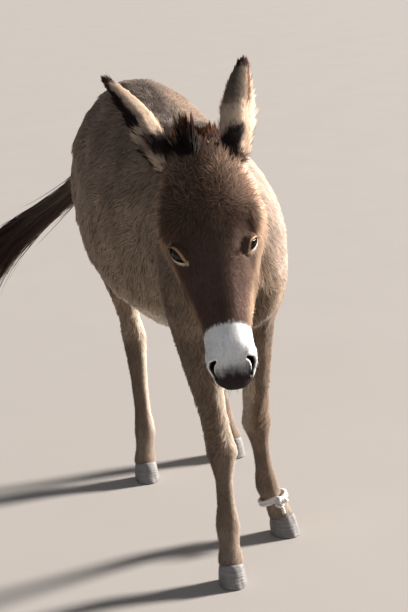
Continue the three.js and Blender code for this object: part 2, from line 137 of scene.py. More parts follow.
def meshArrays(mesh):
    points = np.empty(len(mesh.vertices) * 3, np.float32)
    mesh.vertices.foreach_get("co", points)
    faces = np.empty(len(mesh.loops), np.int32)
    mesh.loops.foreach_get("vertex_index", faces)
    return points.reshape(-1, 3).astype(float), faces.reshape(len(mesh.polygons), -1)


def meshFrom(name, points, faces, smooth=True):
    mesh = bpy.data.meshes.new(name)
    corners = faces.shape[1]
    mesh.vertices.add(len(points))
    mesh.loops.add(faces.size)
    mesh.polygons.add(len(faces))
    mesh.vertices.foreach_set("co", points.astype(np.float32).ravel())
    mesh.loops.foreach_set("vertex_index", faces.astype(np.int32).ravel())
    mesh.polygons.foreach_set("loop_start", np.arange(0, faces.size, corners, dtype=np.int32))
    mesh.polygons.foreach_set("use_smooth", np.full(len(faces), smooth))
    mesh.update(calc_edges=True)
    return mesh


def addPiece(name, mesh, material=None, slot=None, replaced=()):
    piece = bpy.data.objects.new(name, mesh)
    bpy.context.scene.collection.objects.link(piece)
    if material:
        mesh.materials.clear()
        mesh.materials.append(material)
    if slot:
        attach(piece, "root")
    if replaced:
        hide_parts(*replaced)
    return piece


def evaluated(obj):
    # the object's mesh with its modifiers applied, which are then taken off
    graph = bpy.context.evaluated_depsgraph_get()
    mesh = bpy.data.meshes.new_from_object(obj.evaluated_get(graph))
    obj.modifiers.clear()
    return mesh


def storeColours(mesh, name, colours):
    layer = mesh.attributes.new(name, "FLOAT_COLOR", "POINT")
    values = np.column_stack([colours, np.ones(len(colours))])
    layer.data.foreach_set("color", values.astype(np.float32).ravel())


def storeValues(mesh, name, values):
    layer = mesh.attributes.new(name, "FLOAT", "POINT")
    layer.data.foreach_set("value", np.asarray(values, np.float32))


def edgesOf(faces):
    count = faces.shape[1]
    pairs = np.concatenate([faces[:, [k, (k + 1) % count]] for k in range(count)])
    return np.unique(np.sort(pairs, axis=1), axis=0)


def neighbourMean(values, edges, degree):
    total = np.zeros_like(values)
    for axis in range(values.shape[1]):
        column = values[:, axis]
        total[:, axis] = np.bincount(edges[:, 0], column[edges[:, 1]], len(values))
        total[:, axis] += np.bincount(edges[:, 1], column[edges[:, 0]], len(values))
    return total / degree[:, None]


def relaxed(values, faces, rounds, push=0.0, amount=None):
    # evens values out over the mesh; a push above 0 gives the volume back after each round
    edges = edgesOf(faces)
    degree = np.maximum(np.bincount(edges.ravel(), minlength=len(values)), 1)
    share = 0.5 if amount is None else 0.5 * amount[:, None]
    for _ in range(rounds):
        values = values + share * (neighbourMean(values, edges, degree) - values)
        if push:
            values = values - share * push * (neighbourMean(values, edges, degree) - values)
    return values


def pointNormals(points, faces):
    a, b, c = (points[faces[:, k]] for k in range(3))
    across = np.cross(b - a, c - a)
    total = np.zeros_like(points)
    for axis in range(3):
        for k in range(3):
            total[:, axis] += np.bincount(faces[:, k], across[:, axis], len(points))
    return unit(total)


# Regions of the body. Depths and hair lengths are millimetres. `lift` is how far a tuft's tip
# stands off the skin, as a share of its length, and `wide` how wide a tuft is.

regions = {
    "trunk": {"nodes": ["trunk"], "depth": 9, "hair": 27, "lift": 0.2, "wide": 3.1, "apart": 4.7},
    "neck": {"nodes": ["neck"], "depth": 9, "hair": 27, "lift": 0.24, "wide": 2.9, "apart": 4.3},
    "head": {"nodes": ["head", "eye_right", "eye_left"],
             "depth": 4.5, "hair": 13, "lift": 0.3, "wide": 1.9, "apart": 2.7},
    "ear": {"nodes": ["ear_right", "ear_left"], "depth": 1.8, "hair": 11, "lift": 0.2, "wide": 1.8, "apart": 2.7},
    "upperFore": {"nodes": ["foreleg_right", "foreleg_left"],
                  "depth": 6, "hair": 17, "lift": 0.2, "wide": 2.4, "apart": 3.8},
    "upperHind": {"nodes": ["thigh_right", "thigh_left"],
                  "depth": 7, "hair": 20, "lift": 0.2, "wide": 2.7, "apart": 4.1},
    "cannon": {"nodes": ["fore_cannon_right", "fore_cannon_left", "hind_cannon_right", "hind_cannon_left"],
               "depth": 3, "hair": 11, "lift": 0.24, "wide": 2.0, "apart": 3.2},
    "pastern": {"nodes": ["fore_pastern_right", "fore_pastern_left", "hind_pastern_right",
                          "hind_pastern_left"],
                "depth": 3, "hair": 10, "lift": 0.28, "wide": 1.8, "apart": 2.9},
    "tail": {"nodes": ["tail_dock"], "depth": 6, "hair": 26, "lift": 0.25, "wide": 3.0, "apart": 3.8},
}
fleshNodes = [name for region in regions.values() for name in region["nodes"]]
hoofNodes = [f"{leg}_hoof_{side}" for leg in ("fore", "hind") for side in sides]


# The skin: every flesh solid, grown together into one shape and then drawn in by the coat's depth

skinSet = {
    "overlap": 1.2 * mm,  # how far the solids grow so that they run into each other
    "hoofCore": -4 * mm,  # the skin goes on inside each hoof, by this much smaller
    "voxel": 4 * mm,
    "triangles": 112000,
    "rounds": 26,
    "earRounds": 8,
    "earPlug": (24, 8, 16),  # a ball that closes the foot of each ear: radius, up it, into its cup
    # how deep the skin lies on the head, at these distances below the poll
    "headDepth": ((0, 110, 180, 260, 340, 400), (8, 7.5, 5, 3.6, 2.0, 1.3)),
}
ears = {
    "right": {"root": (50, 10, -34), "axis": (0.44, -0.9, -0.16), "back": (-0.75, 0, 0.66)},
    "left": {"root": (-60, 8, -34), "axis": (-0.21, -0.93, -0.3), "back": (0.3, 0, 0.93)},
}
earLength = 258


def grownNode(name, amount):
    shape = bmesh.new()
    shape.from_mesh(nodes[name].data)
    bmesh.ops.remove_doubles(shape, verts=shape.verts, dist=1e-5)
    shape.normal_update()
    moves = [vert.normal * amount for vert in shape.verts]
    for vert, move in zip(shape.verts, moves):
        vert.co += move
    mesh = bpy.data.meshes.new(name)
    shape.to_mesh(mesh)
    shape.free()
    return mesh


def grownTogether():
    shape = bmesh.new()
    for name in fleshNodes:
        shape.from_mesh(grownNode(name, skinSet["overlap"]))
    for name in hoofNodes:
        shape.from_mesh(grownNode(name, skinSet["hoofCore"]))
    plug, plugUp, plugIn = skinSet["earPlug"]
    for ear in ears.values():
        axis, back = unit(np.array(ear["axis"])), np.array(ear["back"])
        back = unit(back - axis * (back @ axis))
        middle = fromHead(np.array(ear["root"]) + axis * plugUp - back * plugIn)
        bmesh.ops.create_icosphere(shape, subdivisions=2, radius=plug * mm,
                                   matrix=Matrix.Translation(middle))
    mesh = bpy.data.meshes.new("flesh")
    shape.to_mesh(mesh)
    shape.free()
    flesh = addPiece("flesh", mesh)
    remesh = flesh.modifiers.new("one body", "REMESH")
    remesh.mode = "VOXEL"
    remesh.voxel_size = skinSet["voxel"]
    flesh.data = evaluated(flesh)
    thin = flesh.modifiers.new("lighter", "DECIMATE")
    thin.ratio = skinSet["triangles"] / (2 * len(flesh.data.polygons))
    result = evaluated(flesh)
    bpy.data.objects.remove(flesh)
    return result


def surfaceSamples(name, apart):
    # points spread over a node's faces, no further apart than this
    points, faces = meshArrays(nodes[name].data)
    a, b, c = (points[faces[:, k]] for k in range(3))
    longest = max(np.linalg.norm(b - a, axis=1).max(), np.linalg.norm(c - a, axis=1).max())
    steps = max(2, int(math.ceil(longest / apart)))
    steps = min(steps, 9)
    shares = [(i / steps, j / steps) for i in range(steps + 1) for j in range(steps + 1 - i)]
    return np.concatenate([a + (b - a) * u + (c - a) * v for u, v in shares])


def regionShares(points, faces):
    # how much of each region every point belongs to, blending across the borders
    names = list(regions)
    samples = [(index, surfaceSamples(node, 12 * mm))
               for index, name in enumerate(names) for node in regions[name]["nodes"]]
    tree = KDTree(sum(len(found) for _, found in samples))
    for index, found in samples:
        for place in found:
            tree.insert(place, index)
    tree.balance()
    nearest = np.array([tree.find(point)[1] for point in points])
    shares = np.eye(len(names))[nearest]
    return relaxed(shares, faces, 24)


# Eyes. Each has its own axes: `along` runs from the outer to the inner corner of the lids, `over`
# towards the upper lid and `out` the way it looks. Lengths are millimetres.

eyeSet = {
    "radius": 17.5,
    "along": (-0.44, 0.865, 0.2),
    "out": (0.8, 0.17, 0.57),
    "slit": 22,  # half the opening, corner to corner
    "upper": 9.6,
    "lower": 5.6,
    "open": {1: 0.9, -1: 0.62},  # the left one is half shut
    "shift": 2.5,  # the opening's middle, towards the inner corner
    "lid": 1.6,  # how far the lids stand off the eyeball
    "stretch": 1.3,  # the lids' own curve, longer than the eyeball
    "behind": 2.5,
    "corner": 4.5,
}


def eyeAxes(way):
    flip = np.array((way, 1, 1))
    along = unit(np.array(eyeSet["along"]) * flip)
    out = np.array(eyeSet["out"]) * flip
    out = unit(out - along * (out @ along))
    over = np.cross(out, along) * way
    return np.stack([along, over, out])


def eyePlace(local, way):
    # places in the head's frame, as places along, over and out of one eye
    return (local - np.array(eyeInHead) * (way, 1, 1)) @ eyeAxes(way).T


def lidDistance(a, b, way):
    # below 0 inside the opening between the lids, and about the distance from its edge outside
    size = eyeSet["open"][way]
    a, b = (a - eyeSet["shift"]) / size, b / size
    share = np.clip(np.abs(a) / eyeSet["slit"], 0, 1)
    arch = (1 - share**2) ** 0.8
    beyond = np.abs(a) - eyeSet["slit"]
    aside = np.maximum(b - eyeSet["upper"] * arch, -eyeSet["lower"] * arch - b)
    return size * np.where(beyond > 0, np.hypot(beyond, b), aside)


def shapeEye(local, way):
    seat = eyePlace(local, way)
    a, b, c = seat.T
    near = (np.hypot(a, b) < 46) & (c > -16)
    edge = lidDistance(a, b, way)
    ball = np.sqrt(np.maximum(eyeSet["radius"] ** 2 - a**2 - b**2, 0))
    lidRadius = eyeSet["radius"] + eyeSet["lid"]
    lid = np.sqrt(np.maximum(lidRadius**2 - (a / eyeSet["stretch"]) ** 2 - b**2, 0))
    floor = np.maximum(ball - eyeSet["behind"], lid - eyeSet["corner"])
    upperFold = 1.7 * np.exp(-(((edge - 7.5) / 1.9) ** 2)) * ramp(b, 0, 6)
    lowerFold = 1.1 * np.exp(-(((edge - 6) / 1.8) ** 2)) * ramp(-b, 0, 5)
    rim = 0.7 * np.exp(-(((edge - 1.6) / 1.4) ** 2))
    lids = lid + rim - upperFold - lowerFold
    hold = 1 - ramp(edge, 5, 19)
    shaped = np.where(edge < 0, floor, hold * lids + (1 - hold) * c)
    seat[:, 2] = np.where(near, shaped, c)
    moved = seat @ eyeAxes(way) + np.array(eyeInHead) * (way, 1, 1)
    return np.where(near[:, None], moved, local)


# Nostrils and mouth, as bent lines in the head's frame, in millimetres, for the head's right side

noseSet = {
    "nostril": [(31, 421, -24), (37, 424, -29), (40, 431, -37), (38.5, 439, -44), (32, 446, -48)],
    "open": [3.4, 5.6, 6.6, 5.8, 3.6],  # half widths along that line
    "depth": 15,
    "wing": 2.2,
    "mouth": [(0, 474, -75), (17, 466, -77), (31, 450, -80), (40, 424, -84), (45, 394, -88)],
    "crease": 3.2,
    "creaseDepth": 4.5,
}


def lineDistance(points, line, widths=None):
    # the distance from a bent line, or that less the line's own half width there
    best = np.full(len(points), np.inf)
    line = np.array(line, float)
    widths = np.zeros(len(line)) if widths is None else np.array(widths, float)
    for start, end, w0, w1 in zip(line[:-1], line[1:], widths[:-1], widths[1:]):
        step = end - start
        share = np.clip((points - start) @ step / (step @ step), 0, 1)
        away = np.linalg.norm(points - start - share[:, None] * step, axis=1)
        best = np.minimum(best, away - (w0 + (w1 - w0) * share))
    return best


def sided(line, way):
    return [(x * way, y, z) for x, y, z in line]


def shapeNose(local, localNormals):
    # also gives how far each point is inside a nostril, from 0 to 1
    hollow = np.zeros(len(local))
    for way in sides.values():
        edge = lineDistance(local, sided(noseSet["nostril"], way), noseSet["open"])
        hollow = np.maximum(hollow, 1 - ramp(edge, -1.4, 1.2))
        sink = noseSet["depth"] * (1 - ramp(edge, -3.6, 0.4))
        wing = noseSet["wing"] * np.exp(-(((edge - 2.6) / 2.2) ** 2))
        inward = np.array((-0.45 * way, -0.5, -0.72))
        local = local + sink[:, None] * inward + wing[:, None] * localNormals
        crease = lineDistance(local, sided(noseSet["mouth"], way))
        dip = noseSet["creaseDepth"] * np.exp(-((crease / noseSet["crease"]) ** 2))
        lips = 1.6 * np.exp(-(((crease - 8) / 5) ** 2))
        local = local + (0.5 * lips - dip)[:, None] * localNormals
    return local, hollow


# Soft forms under the coat, in the head's frame: place on the right side, reach, and rise

faceForms = [
    ((61, 140, -12), (17, 28, 18), 6.5),  # temple over the eye
    ((74, 262, -56), (12, 60, 12), 3.0),  # crest below the eye
    ((40, 300, -14), (12, 70, 14), -2.0),  # beside the nasal bone
    ((58, 330, -84), (20, 40, 24), -3.0),  # behind the corner of the mouth
    ((30, 404, -18), (14, 22, 14), 2.0),  # over the nostril
]
bodyForms = [  # the same on the body, as drawn, for each side of the middle line
    ((150, 318, 905), (46, 60, 40), 8),  # point of the hip
    ((150, 240, 800), (60, 60, 80), -7),  # flank
    ((118, -250, 830), (40, 60, 90), 5),  # shoulder blade
    ((150, -170, 740), (50, 34, 120), -5),  # behind the shoulder
    ((60, -420, 640), (40, 40, 60), 5),  # breast
    ((100, 470, 760), (50, 60, 110), 5),  # buttock
]
middleLine = {"at": (-400, -200, 0, 200, 400, 560), "x": (0, -4, -20, -32, -45, -51)}


def middleX(y):
    return np.interp(y, middleLine["at"], middleLine["x"])


def formRise(places, forms, ways, middle=0.0):
    rise = np.zeros(len(places))
    for (x, y, z), reach, height in forms:
        for way in ways:
            away = (places - np.array((0, y, z))) / np.array(reach)
            away[:, 0] = (places[:, 0] - middle - x * way) / reach[0]
            rise += height * np.exp(-(away**2).sum(1))
    return rise


def refined(points, faces, spots):
    # splits in two each edge that lies near one of the spots, which are (centre, reach)
    shape = bmesh.new()
    shape.from_mesh(meshFrom("refined", points, faces))
    middles = np.array([(edge.verts[0].co + edge.verts[1].co) / 2 for edge in shape.edges])
    near = np.zeros(len(middles), bool)
    for centre, reach in spots:
        near |= np.linalg.norm(middles - centre, axis=1) < reach
    chosen = [edge for edge, wanted in zip(shape.edges, near) if wanted]
    bmesh.ops.subdivide_edges(shape, edges=chosen, cuts=1, use_grid_fill=True)
    bmesh.ops.triangulate(shape, faces=[face for face in shape.faces if len(face.verts) > 3])
    mesh = bpy.data.meshes.new("refined")
    shape.to_mesh(mesh)
    shape.free()
    return meshArrays(mesh)


def faceSpots(eyeReach, noseReach):
    spots = [(fromHead(np.array(eyeInHead) * (way, 1, 1)), eyeReach * mm) for way in sides.values()]
    spots += [(fromHead((36 * way, 433, -38)), noseReach * mm) for way in sides.values()]
    return spots


def makeSkinShape():
    mesh = grownTogether()
    points, faces = meshArrays(triangulated(mesh))
    shares = regionShares(points, faces)
    names = list(regions)
    ear = shares[:, names.index("ear")]
    points = relaxed(points, faces, skinSet["earRounds"], push=1.04)
    points = relaxed(points, faces, skinSet["rounds"], push=1.02, amount=1 - ramp(ear, 0.1, 0.6))
    depth = shares @ np.array([regions[name]["depth"] for name in names])
    headDepth = np.interp(headPlace(points)[:, 1], *skinSet["headDepth"])
    depth += shares[:, names.index("head")] * (headDepth - regions["head"]["depth"])
    depth = relaxed(depth[:, None], faces, 10)
    normals = relaxed(pointNormals(points, faces), faces, 3)
    points = points - unit(normals) * (depth * mm + skinSet["overlap"])
    drawn = (points - partShift) / mm
    middle = middleX(drawn[:, 1])
    bodyShare = 1 - shares[:, names.index("head")] - ear
    rise = formRise(drawn, bodyForms, (-1, 1), middle) * np.clip(bodyShare, 0, 1)
    rise += formRise(headPlace(points), faceForms, (-1, 1)) * shares[:, names.index("head")]
    points = points + unit(normals) * rise[:, None] * mm
    mouthSpots = [(fromHead((30 * way, 436, -82)), 42 * mm) for way in sides.values()]
    points, faces = refined(points, faces, faceSpots(48, 40) + mouthSpots)
    points, faces = refined(points, faces, faceSpots(36, 24) + mouthSpots)
    points, faces = refined(points, faces, faceSpots(28, 17))
    local = headPlace(points)
    seat = [np.linalg.norm(points - spot, axis=1) for spot, _ in faceSpots(0, 0)]
    close = 1 - ramp(np.minimum.reduce(seat), 30 * mm, 44 * mm)
    points = relaxed(points, faces, 6, push=1.02, amount=close)
    local = headPlace(points)
    localNormals = pointNormals(points, faces) @ headAxes
    local, hollow = shapeNose(local, localNormals)
    for way in sides.values():
        local = shapeEye(local, way)
    return poll + local @ headAxes.T * mm, faces, hollow


def triangulated(mesh):
    shape = bmesh.new()
    shape.from_mesh(mesh)
    bmesh.ops.triangulate(shape, faces=shape.faces)
    result = bpy.data.meshes.new("triangles")
    shape.to_mesh(result)
    shape.free()
    return result


skinPoints, skinFaces, skinHollow = makeSkinShape()
skinNormals = unit(relaxed(pointNormals(skinPoints, skinFaces), skinFaces, 2))
skinShares = regionShares(skinPoints, skinFaces)
print("skin shaped:", len(skinFaces), "triangles")


# Which way the hair lies, at every point of the skin

tailLine = [(-48, 505, 930), (-62, 568, 888), (-112, 600, 806), (-182, 604, 728)]
lieWays = {  # towards the tail and down, region by region
    "trunk": (0, 0.6, -1),
    "neck": (0.05, 0.45, -1),
    "upperFore": (0, 0.3, -1),
    "upperHind": (0, 0.35, -1),
    "cannon": (0, 0.05, -1),
    "pastern": (0, -0.2, -1),
}
whorlAt = 108  # millimetres below the poll, where the hair of the forehead parts


def earOf(local):
    # for places in the head's frame: how far up the ear, how far across it, and its axes
    right = (local[:, 0] > 0)[:, None]
    root = np.where(right, ears["right"]["root"], ears["left"]["root"])
    axis = unit(np.where(right, ears["right"]["axis"], ears["left"]["axis"]))
    back = np.where(right, ears["right"]["back"], ears["left"]["back"])
    across = unit(np.cross(axis, back))
    back = np.cross(across, axis)
    away = local - root
    up = (away * axis).sum(1) / earLength
    return up, (away * across).sum(1), axis, back


def earWidth(up):
    # half an ear's width, from its root to its tip
    open = np.clip((up - 0.4) / 0.6, 0, 1)
    return np.where(up < 0.4, 27 + 8 * np.sin(np.clip(up, 0, 1) / 0.8 * math.pi),
                    13 + 22 * np.cos(open * math.pi / 2) ** 0.9)


def lieOf(points, normals, faces, shares):
    local = headPlace(points)
    ways = {name: np.tile(np.array(way, float), (len(points), 1)) for name, way in lieWays.items()}
    aside = ramp(np.abs(local[:, 0]), 45, 85)
    down = np.tanh((local[:, 1] - whorlAt) / 22)
    spread = np.sign(local[:, 0]) * 0.3 * (1 - aside)
    ways["head"] = np.column_stack([spread, down * (1 - 0.2 * aside), -0.45 * aside]) @ headAxes.T
    ways["ear"] = earOf(local)[2] @ headAxes.T
    steps = np.diff(np.array(tailLine, float), axis=0)
    drawn = (points - partShift) / mm
    falls = np.argmin([lineDistance(drawn, tailLine[k:k + 2]) for k in range(len(steps))], axis=0)
    ways["tail"] = unit(steps)[falls]
    field = sum(shares[:, [k]] * unit(ways[name]) for k, name in enumerate(regions))
    for _ in range(3):
        field = onPlane(relaxed(field, faces, 6), normals)
    return field


skinLie = lieOf(skinPoints, skinNormals, skinFaces, skinShares)


# Markings, which the skin and the coat share

tones = {
    "trunk": paint(142, 123, 105),
    "neck": paint(168, 148, 134),
    # painted shade: the darker tone of the trunk's upward faces, set against the strong light from above
    "back": paint(116, 98, 86),
    # painted light: the paler neck and breast on the side that faces the light
    "sunlitNeck": paint(166, 148, 137),
    "head": paint(126, 104, 88),
    "ear": paint(194, 170, 149),
    "upperFore": paint(117, 100, 86),
    "upperHind": paint(146, 127, 109),
    "cannon": paint(116, 100, 87),
    "pastern": paint(140, 124, 110),
    "tail": paint(134, 116, 100),
    "stripe": paint(58, 44, 37),
    "belly": paint(218, 202, 186),
    "inner": paint(198, 183, 167),
    "face": paint(84, 66, 59),
    "brow": paint(86, 68, 57),
    # painted shade: darkens the breast under the head and the place where the head meets the neck
    "cheek": paint(142, 117, 98),
    "throatShade": paint(92, 74, 60),
    "muzzle": paint(244, 243, 243),
    "nose": paint(32, 20, 19),
    # painted shade: near-black for inside the nostrils and the mouth crease, deeper than the skin's own dark
    "nostril": paint(18, 13, 12),
    "lip": paint(120, 108, 102),
    "eyeRing": paint(204, 162, 124),
    "lowerLid": paint(222, 210, 198),
    "lidEdge": paint(34, 25, 22),
    "earDark": paint(38, 27, 26),
    "earGrey": paint(92, 80, 70),
    "earInside": paint(206, 182, 160),
    "rust": paint(88, 50, 31),
    "coronet": paint(120, 104, 92),
}


def markings(points, normals, shares):
    local = headPlace(points)
    drawn = (points - partShift) / mm
    localNormals = normals @ headAxes
    share = {name: shares[:, k] for k, name in enumerate(regions)}
    fine = ripple(points, 9 * mm, 3)
    broad = ripple(points, 60 * mm, 4)
    colour = shares @ np.array([tones[name] for name in regions])
    middle = middleX(drawn[:, 1])

    # body: pale underneath, with a dark mottled stripe along the back
    under = ramp(-normals[:, 2], 0.25, 0.8) * ramp(-drawn[:, 2], -640, -560)
    colour = blend(colour, tones["belly"], under * (share["trunk"] + 0.5 * share["neck"]))
    # painted shade: upward faces of the trunk are darker, to offset the light from above
    colour = blend(colour, tones["back"], 0.8 * ramp(normals[:, 2], 0.15, 0.7) * share["trunk"])
    mottle = ripple(points, 17 * mm, 5)
    fromSpine = np.abs(drawn[:, 0] - middle) + 5 * fine
    onTop = ramp(normals[:, 2], 0.35, 0.6) * (share["trunk"] + share["tail"])
    stripe = (1 - ramp(fromSpine, 12, 26)) * (0.45 + 0.55 * ramp(mottle, -0.7, 0.3))
    colour = blend(colour, tones["stripe"], 0.9 * stripe * onTop)
    grizzle = (1 - ramp(fromSpine, 40, 90)) * ramp(mottle + 0.4 * fine, 0.2, 0.9)
    colour = blend(colour, tones["stripe"], 0.45 * grizzle * onTop)

    # painted shade on the breast under the head, which faces away from the light
    hollow = np.linalg.norm((drawn - (38, -446, 655)) / (30, 70, 64), axis=1)
    colour = blend(colour, tones["throatShade"], 0.8 * (1 - ramp(hollow + 0.15 * fine, 0.55, 1.15)))

    # painted light: the neck and the breast are paler where they face the donkey's left, towards the light
    sunwardFacing = ramp(normals[:, 0] + 0.05 * fine, 0.2, 0.62) * (1 - ramp(drawn[:, 1], -260, -120))
    pale = sunwardFacing * (share["neck"] + share["trunk"]) * ramp(drawn[:, 2], 660, 760)
    colour = blend(colour, tones["sunlitNeck"], 0.8 * pale)

    # legs: pale on the inside, more so on the hind pair
    side = np.sign(drawn[:, 0] - middle)
    inner = ramp(-normals[:, 0] * side, 0.2, 0.8)
    colour = blend(colour, tones["inner"], inner * (0.55 * share["upperFore"] + 0.85 * share["upperHind"]))
    behind = ramp(drawn[:, 1], 100, 200)
    # painted shade: the left legs' cannons get none of the pale inside and so stay darker
    lower = (0.3 + 0.5 * behind) * ramp(-side, -0.5, 0.5) * share["cannon"]
    colour = blend(colour, tones["inner"], inner * lower)
    atHoof = share["pastern"] * (1 - ramp(drawn[:, 2], 52, 66))
    colour = blend(colour, tones["coronet"], 0.7 * atHoof)

    # head: dark down the front, paler cheeks, white muzzle, dark nose, pale rings round the eyes
    x, y, z = local.T
    # painted light: the head's left faces the light, so there the dark front stops sooner and the cheek is a touch
    # paler
    sunlitSide = ramp(-x, 0, 20)
    front = ramp(localNormals[:, 2] + 0.06 * fine - 0.16 * sunlitSide * ramp(y, 190, 250), 0.02, 0.5)
    face = blend(tones["brow"][None, :], tones["face"][None, :], ramp(y, 120, 250))
    cheek = blend(tones["cheek"][None, :], tones["inner"][None, :], 0.06 * sunlitSide)
    head = blend(cheek, face, front)
    # painted shade where the head meets the neck, away from its front
    head = blend(head, tones["throatShade"], (1 - ramp(y, 20, 90)) * (1 - front) * 0.5)
    head = blend(head, tones["stripe"], 0.85 * (1 - ramp(y + 5 * fine, -4, 26)) * (1 - ramp(-z, 20, 50)))
    head = blend(head, tones["belly"], ramp(-localNormals[:, 2], 0.5, 0.9) * 0.6)
    for way in sides.values():
        a, b, _ = eyePlace(local, way).T
        close = np.abs(x - eyeInHead[0] * way) < 60
        edge = lidDistance(a, b, way)
        reach = edge + 0.5 * fine - 3 * ramp(-b, 0, 4) * ramp(a, -6, 8)
        ring = 1 - ramp(reach, 3.4, 5.6)
        lidTone = blend(tones["eyeRing"][None, :], tones["lowerLid"][None, :], ramp(-b, 0, 4))
        head = blend(head, lidTone, 0.9 * ring * close)
        head = blend(head, tones["lidEdge"], (1 - ramp(edge, 0.8, 2.4)) * close)
    white = ramp(y + 0.8 * fine + 8 * ramp(-z, 60, 110) - 0.002 * x**2, 350, 355)
    head = blend(head, tones["muzzle"], white)
    beside = np.abs(x) - 0.9 * np.clip(y - 440, 0, 40) + 1.5 * fine
    nose = ramp(y + 3 * fine, 418, 450) * (1 - ramp(beside, 31, 40)) * ramp(z, -88, -78)
    head = blend(head, tones["nose"], 0.98 * nose)
    lip = ramp(y, 436, 452) * (1 - ramp(z, -86, -76))
    head = blend(head, tones["lip"], 0.6 * lip)
    for way in sides.values():
        crease = lineDistance(local, sided(noseSet["mouth"], way))
        # painted shade: the mouth crease darkened with the nostril tone
        head = blend(head, tones["nostril"], 0.75 * (1 - ramp(crease, 0.8, 3.4)))
    colour = blend(colour, head, share["head"])

    # ears: pale brown backs, dark root, tip and outer edge, cream hair inside
    up, across, _, back = earOf(local)
    facing = (localNormals * back).sum(1)
    ear = blend(np.tile(tones["earInside"], (len(points), 1)), tones["ear"], ramp(facing, -0.3, 0.2))
    outer = -across * np.sign(x) / earWidth(up)
    grizzled = ramp(up + 0.03 * fine, 0.34, 0.52) * (1 - ramp(np.abs(outer), 0.55, 0.85)) * ramp(facing, 0, 0.3)
    ear = blend(ear, tones["earGrey"], grizzled * np.where(x > 0, 0.3, 0.95))
    root = 1 - ramp(up + 0.03 * broad + 0.02 * fine, 0.19, 0.29)
    inset = outer - 0.15 - 0.25 * ramp(up, 0, 0.15) + np.where(x > 0, 0, 0.12)
    ear = blend(ear, tones["earDark"], root * (1 - 0.85 * ramp(inset, 0.4, 0.6)))
    tip = ramp(up + 0.015 * fine, 0.85, 0.91)
    band = ramp(outer + 0.04 * fine, 0.66, 0.8) * ramp(up + 0.02 * fine, 0.3, 0.4)
    line = ramp(outer, 0.7, 0.77) * (1 - ramp(outer, 0.81, 0.88)) * ramp(up, 0.4, 0.46)
    ear = blend(ear, tones["rust"], np.where(x > 0, 0, 0.95 * line))
    ear = blend(ear, tones["earDark"], np.maximum(tip, np.where(x > 0, band, 0)))
    fringe = tip * ramp(np.abs(outer) + 2 * (up - 0.9), 0.5, 0.9)
    ear = blend(ear, tones["rust"], 0.7 * fringe)
    colour = blend(colour, ear, ramp(share["ear"], 0.25, 0.75))

    speck = 1 + 0.05 * fine + 0.06 * broad
    return np.clip(colour * speck[:, None], 0, 1)


def bareness(points, shares):
    # where the skin itself shows: inside the nostrils, on the lips and along the lids
    local = headPlace(points)
    bare = np.zeros(len(points))
    for way in sides.values():
        a, b, _ = eyePlace(local, way).T
        bare = np.maximum(bare, 1 - ramp(lidDistance(a, b, way), 1.5, 3.5))
        opening = lineDistance(local, sided(noseSet["nostril"], way), noseSet["open"])
        bare = np.maximum(bare, 1 - ramp(opening, 1.5, 4))
        crease = lineDistance(local, sided(noseSet["mouth"], way))
        bare = np.maximum(bare, 1 - ramp(crease, 2, 4))
    return bare * shares[:, list(regions).index("head")]


# Materials

class Wire:
    # a socket of a material's nodes: sums and products on it add Math nodes
    def __init__(self, tree, socket=None):
        self.tree = tree
        self.socket = socket

    def node(self, kind, settings=None, sockets=None, output=0):
        made = self.tree.nodes.new(kind)
        for name, value in (settings or {}).items():
            setattr(made, name, value)
        for name, value in (sockets or {}).items():
            if isinstance(value, Wire):
                self.tree.links.new(value.socket, made.inputs[name])
            else:
                made.inputs[name].default_value = value
        return Wire(self.tree, made.outputs[output] if len(made.outputs) else None)

    def maths(self, operation, first, second):
        return self.node("ShaderNodeMath", {"operation": operation}, {0: first, 1: second})

    def __add__(self, other):
        return self.maths("ADD", self, other)

    def __radd__(self, other):
        return self.maths("ADD", other, self)

    def __sub__(self, other):
        return self.maths("SUBTRACT", self, other)

    def __rsub__(self, other):
        return self.maths("SUBTRACT", other, self)

    def __mul__(self, other):
        return self.maths("MULTIPLY", self, other)

    def __rmul__(self, other):
        return self.maths("MULTIPLY", other, self)


def newMaterial(name):
    material = bpy.data.materials.new(name)
    material.use_nodes = True
    material.node_tree.nodes.clear()
    return material, Wire(material.node_tree)


def finishMaterial(wire, settings):
    shader = wire.node("ShaderNodeBsdfPrincipled", {}, settings)
    wire.node("ShaderNodeOutputMaterial", {}, {"Surface": shader})


def mixed(wire, share, pair):
    # from the first colour of a pair to the second
    sockets = {0: share, 6: (*pair[0], 1), 7: (*pair[1], 1)}
    return wire.node("ShaderNodeMix", {"data_type": "RGBA"}, sockets, 2)


def tinted(wire, colour, brightness):
    # a colour made lighter or darker by a value round 1
    spread = wire.node("ShaderNodeCombineXYZ", {}, {0: brightness, 1: brightness, 2: brightness})
    return wire.node("ShaderNodeVectorMath", {"operation": "MULTIPLY"}, {0: colour, 1: spread})


def noiseAt(wire, place, scale, detail=3.0):
    return wire.node("ShaderNodeTexNoise", {}, {"Vector": place, "Scale": scale, "Detail": detail})


def objectPlace(wire):
    return wire.node("ShaderNodeTexCoord", {}, {}, "Object")


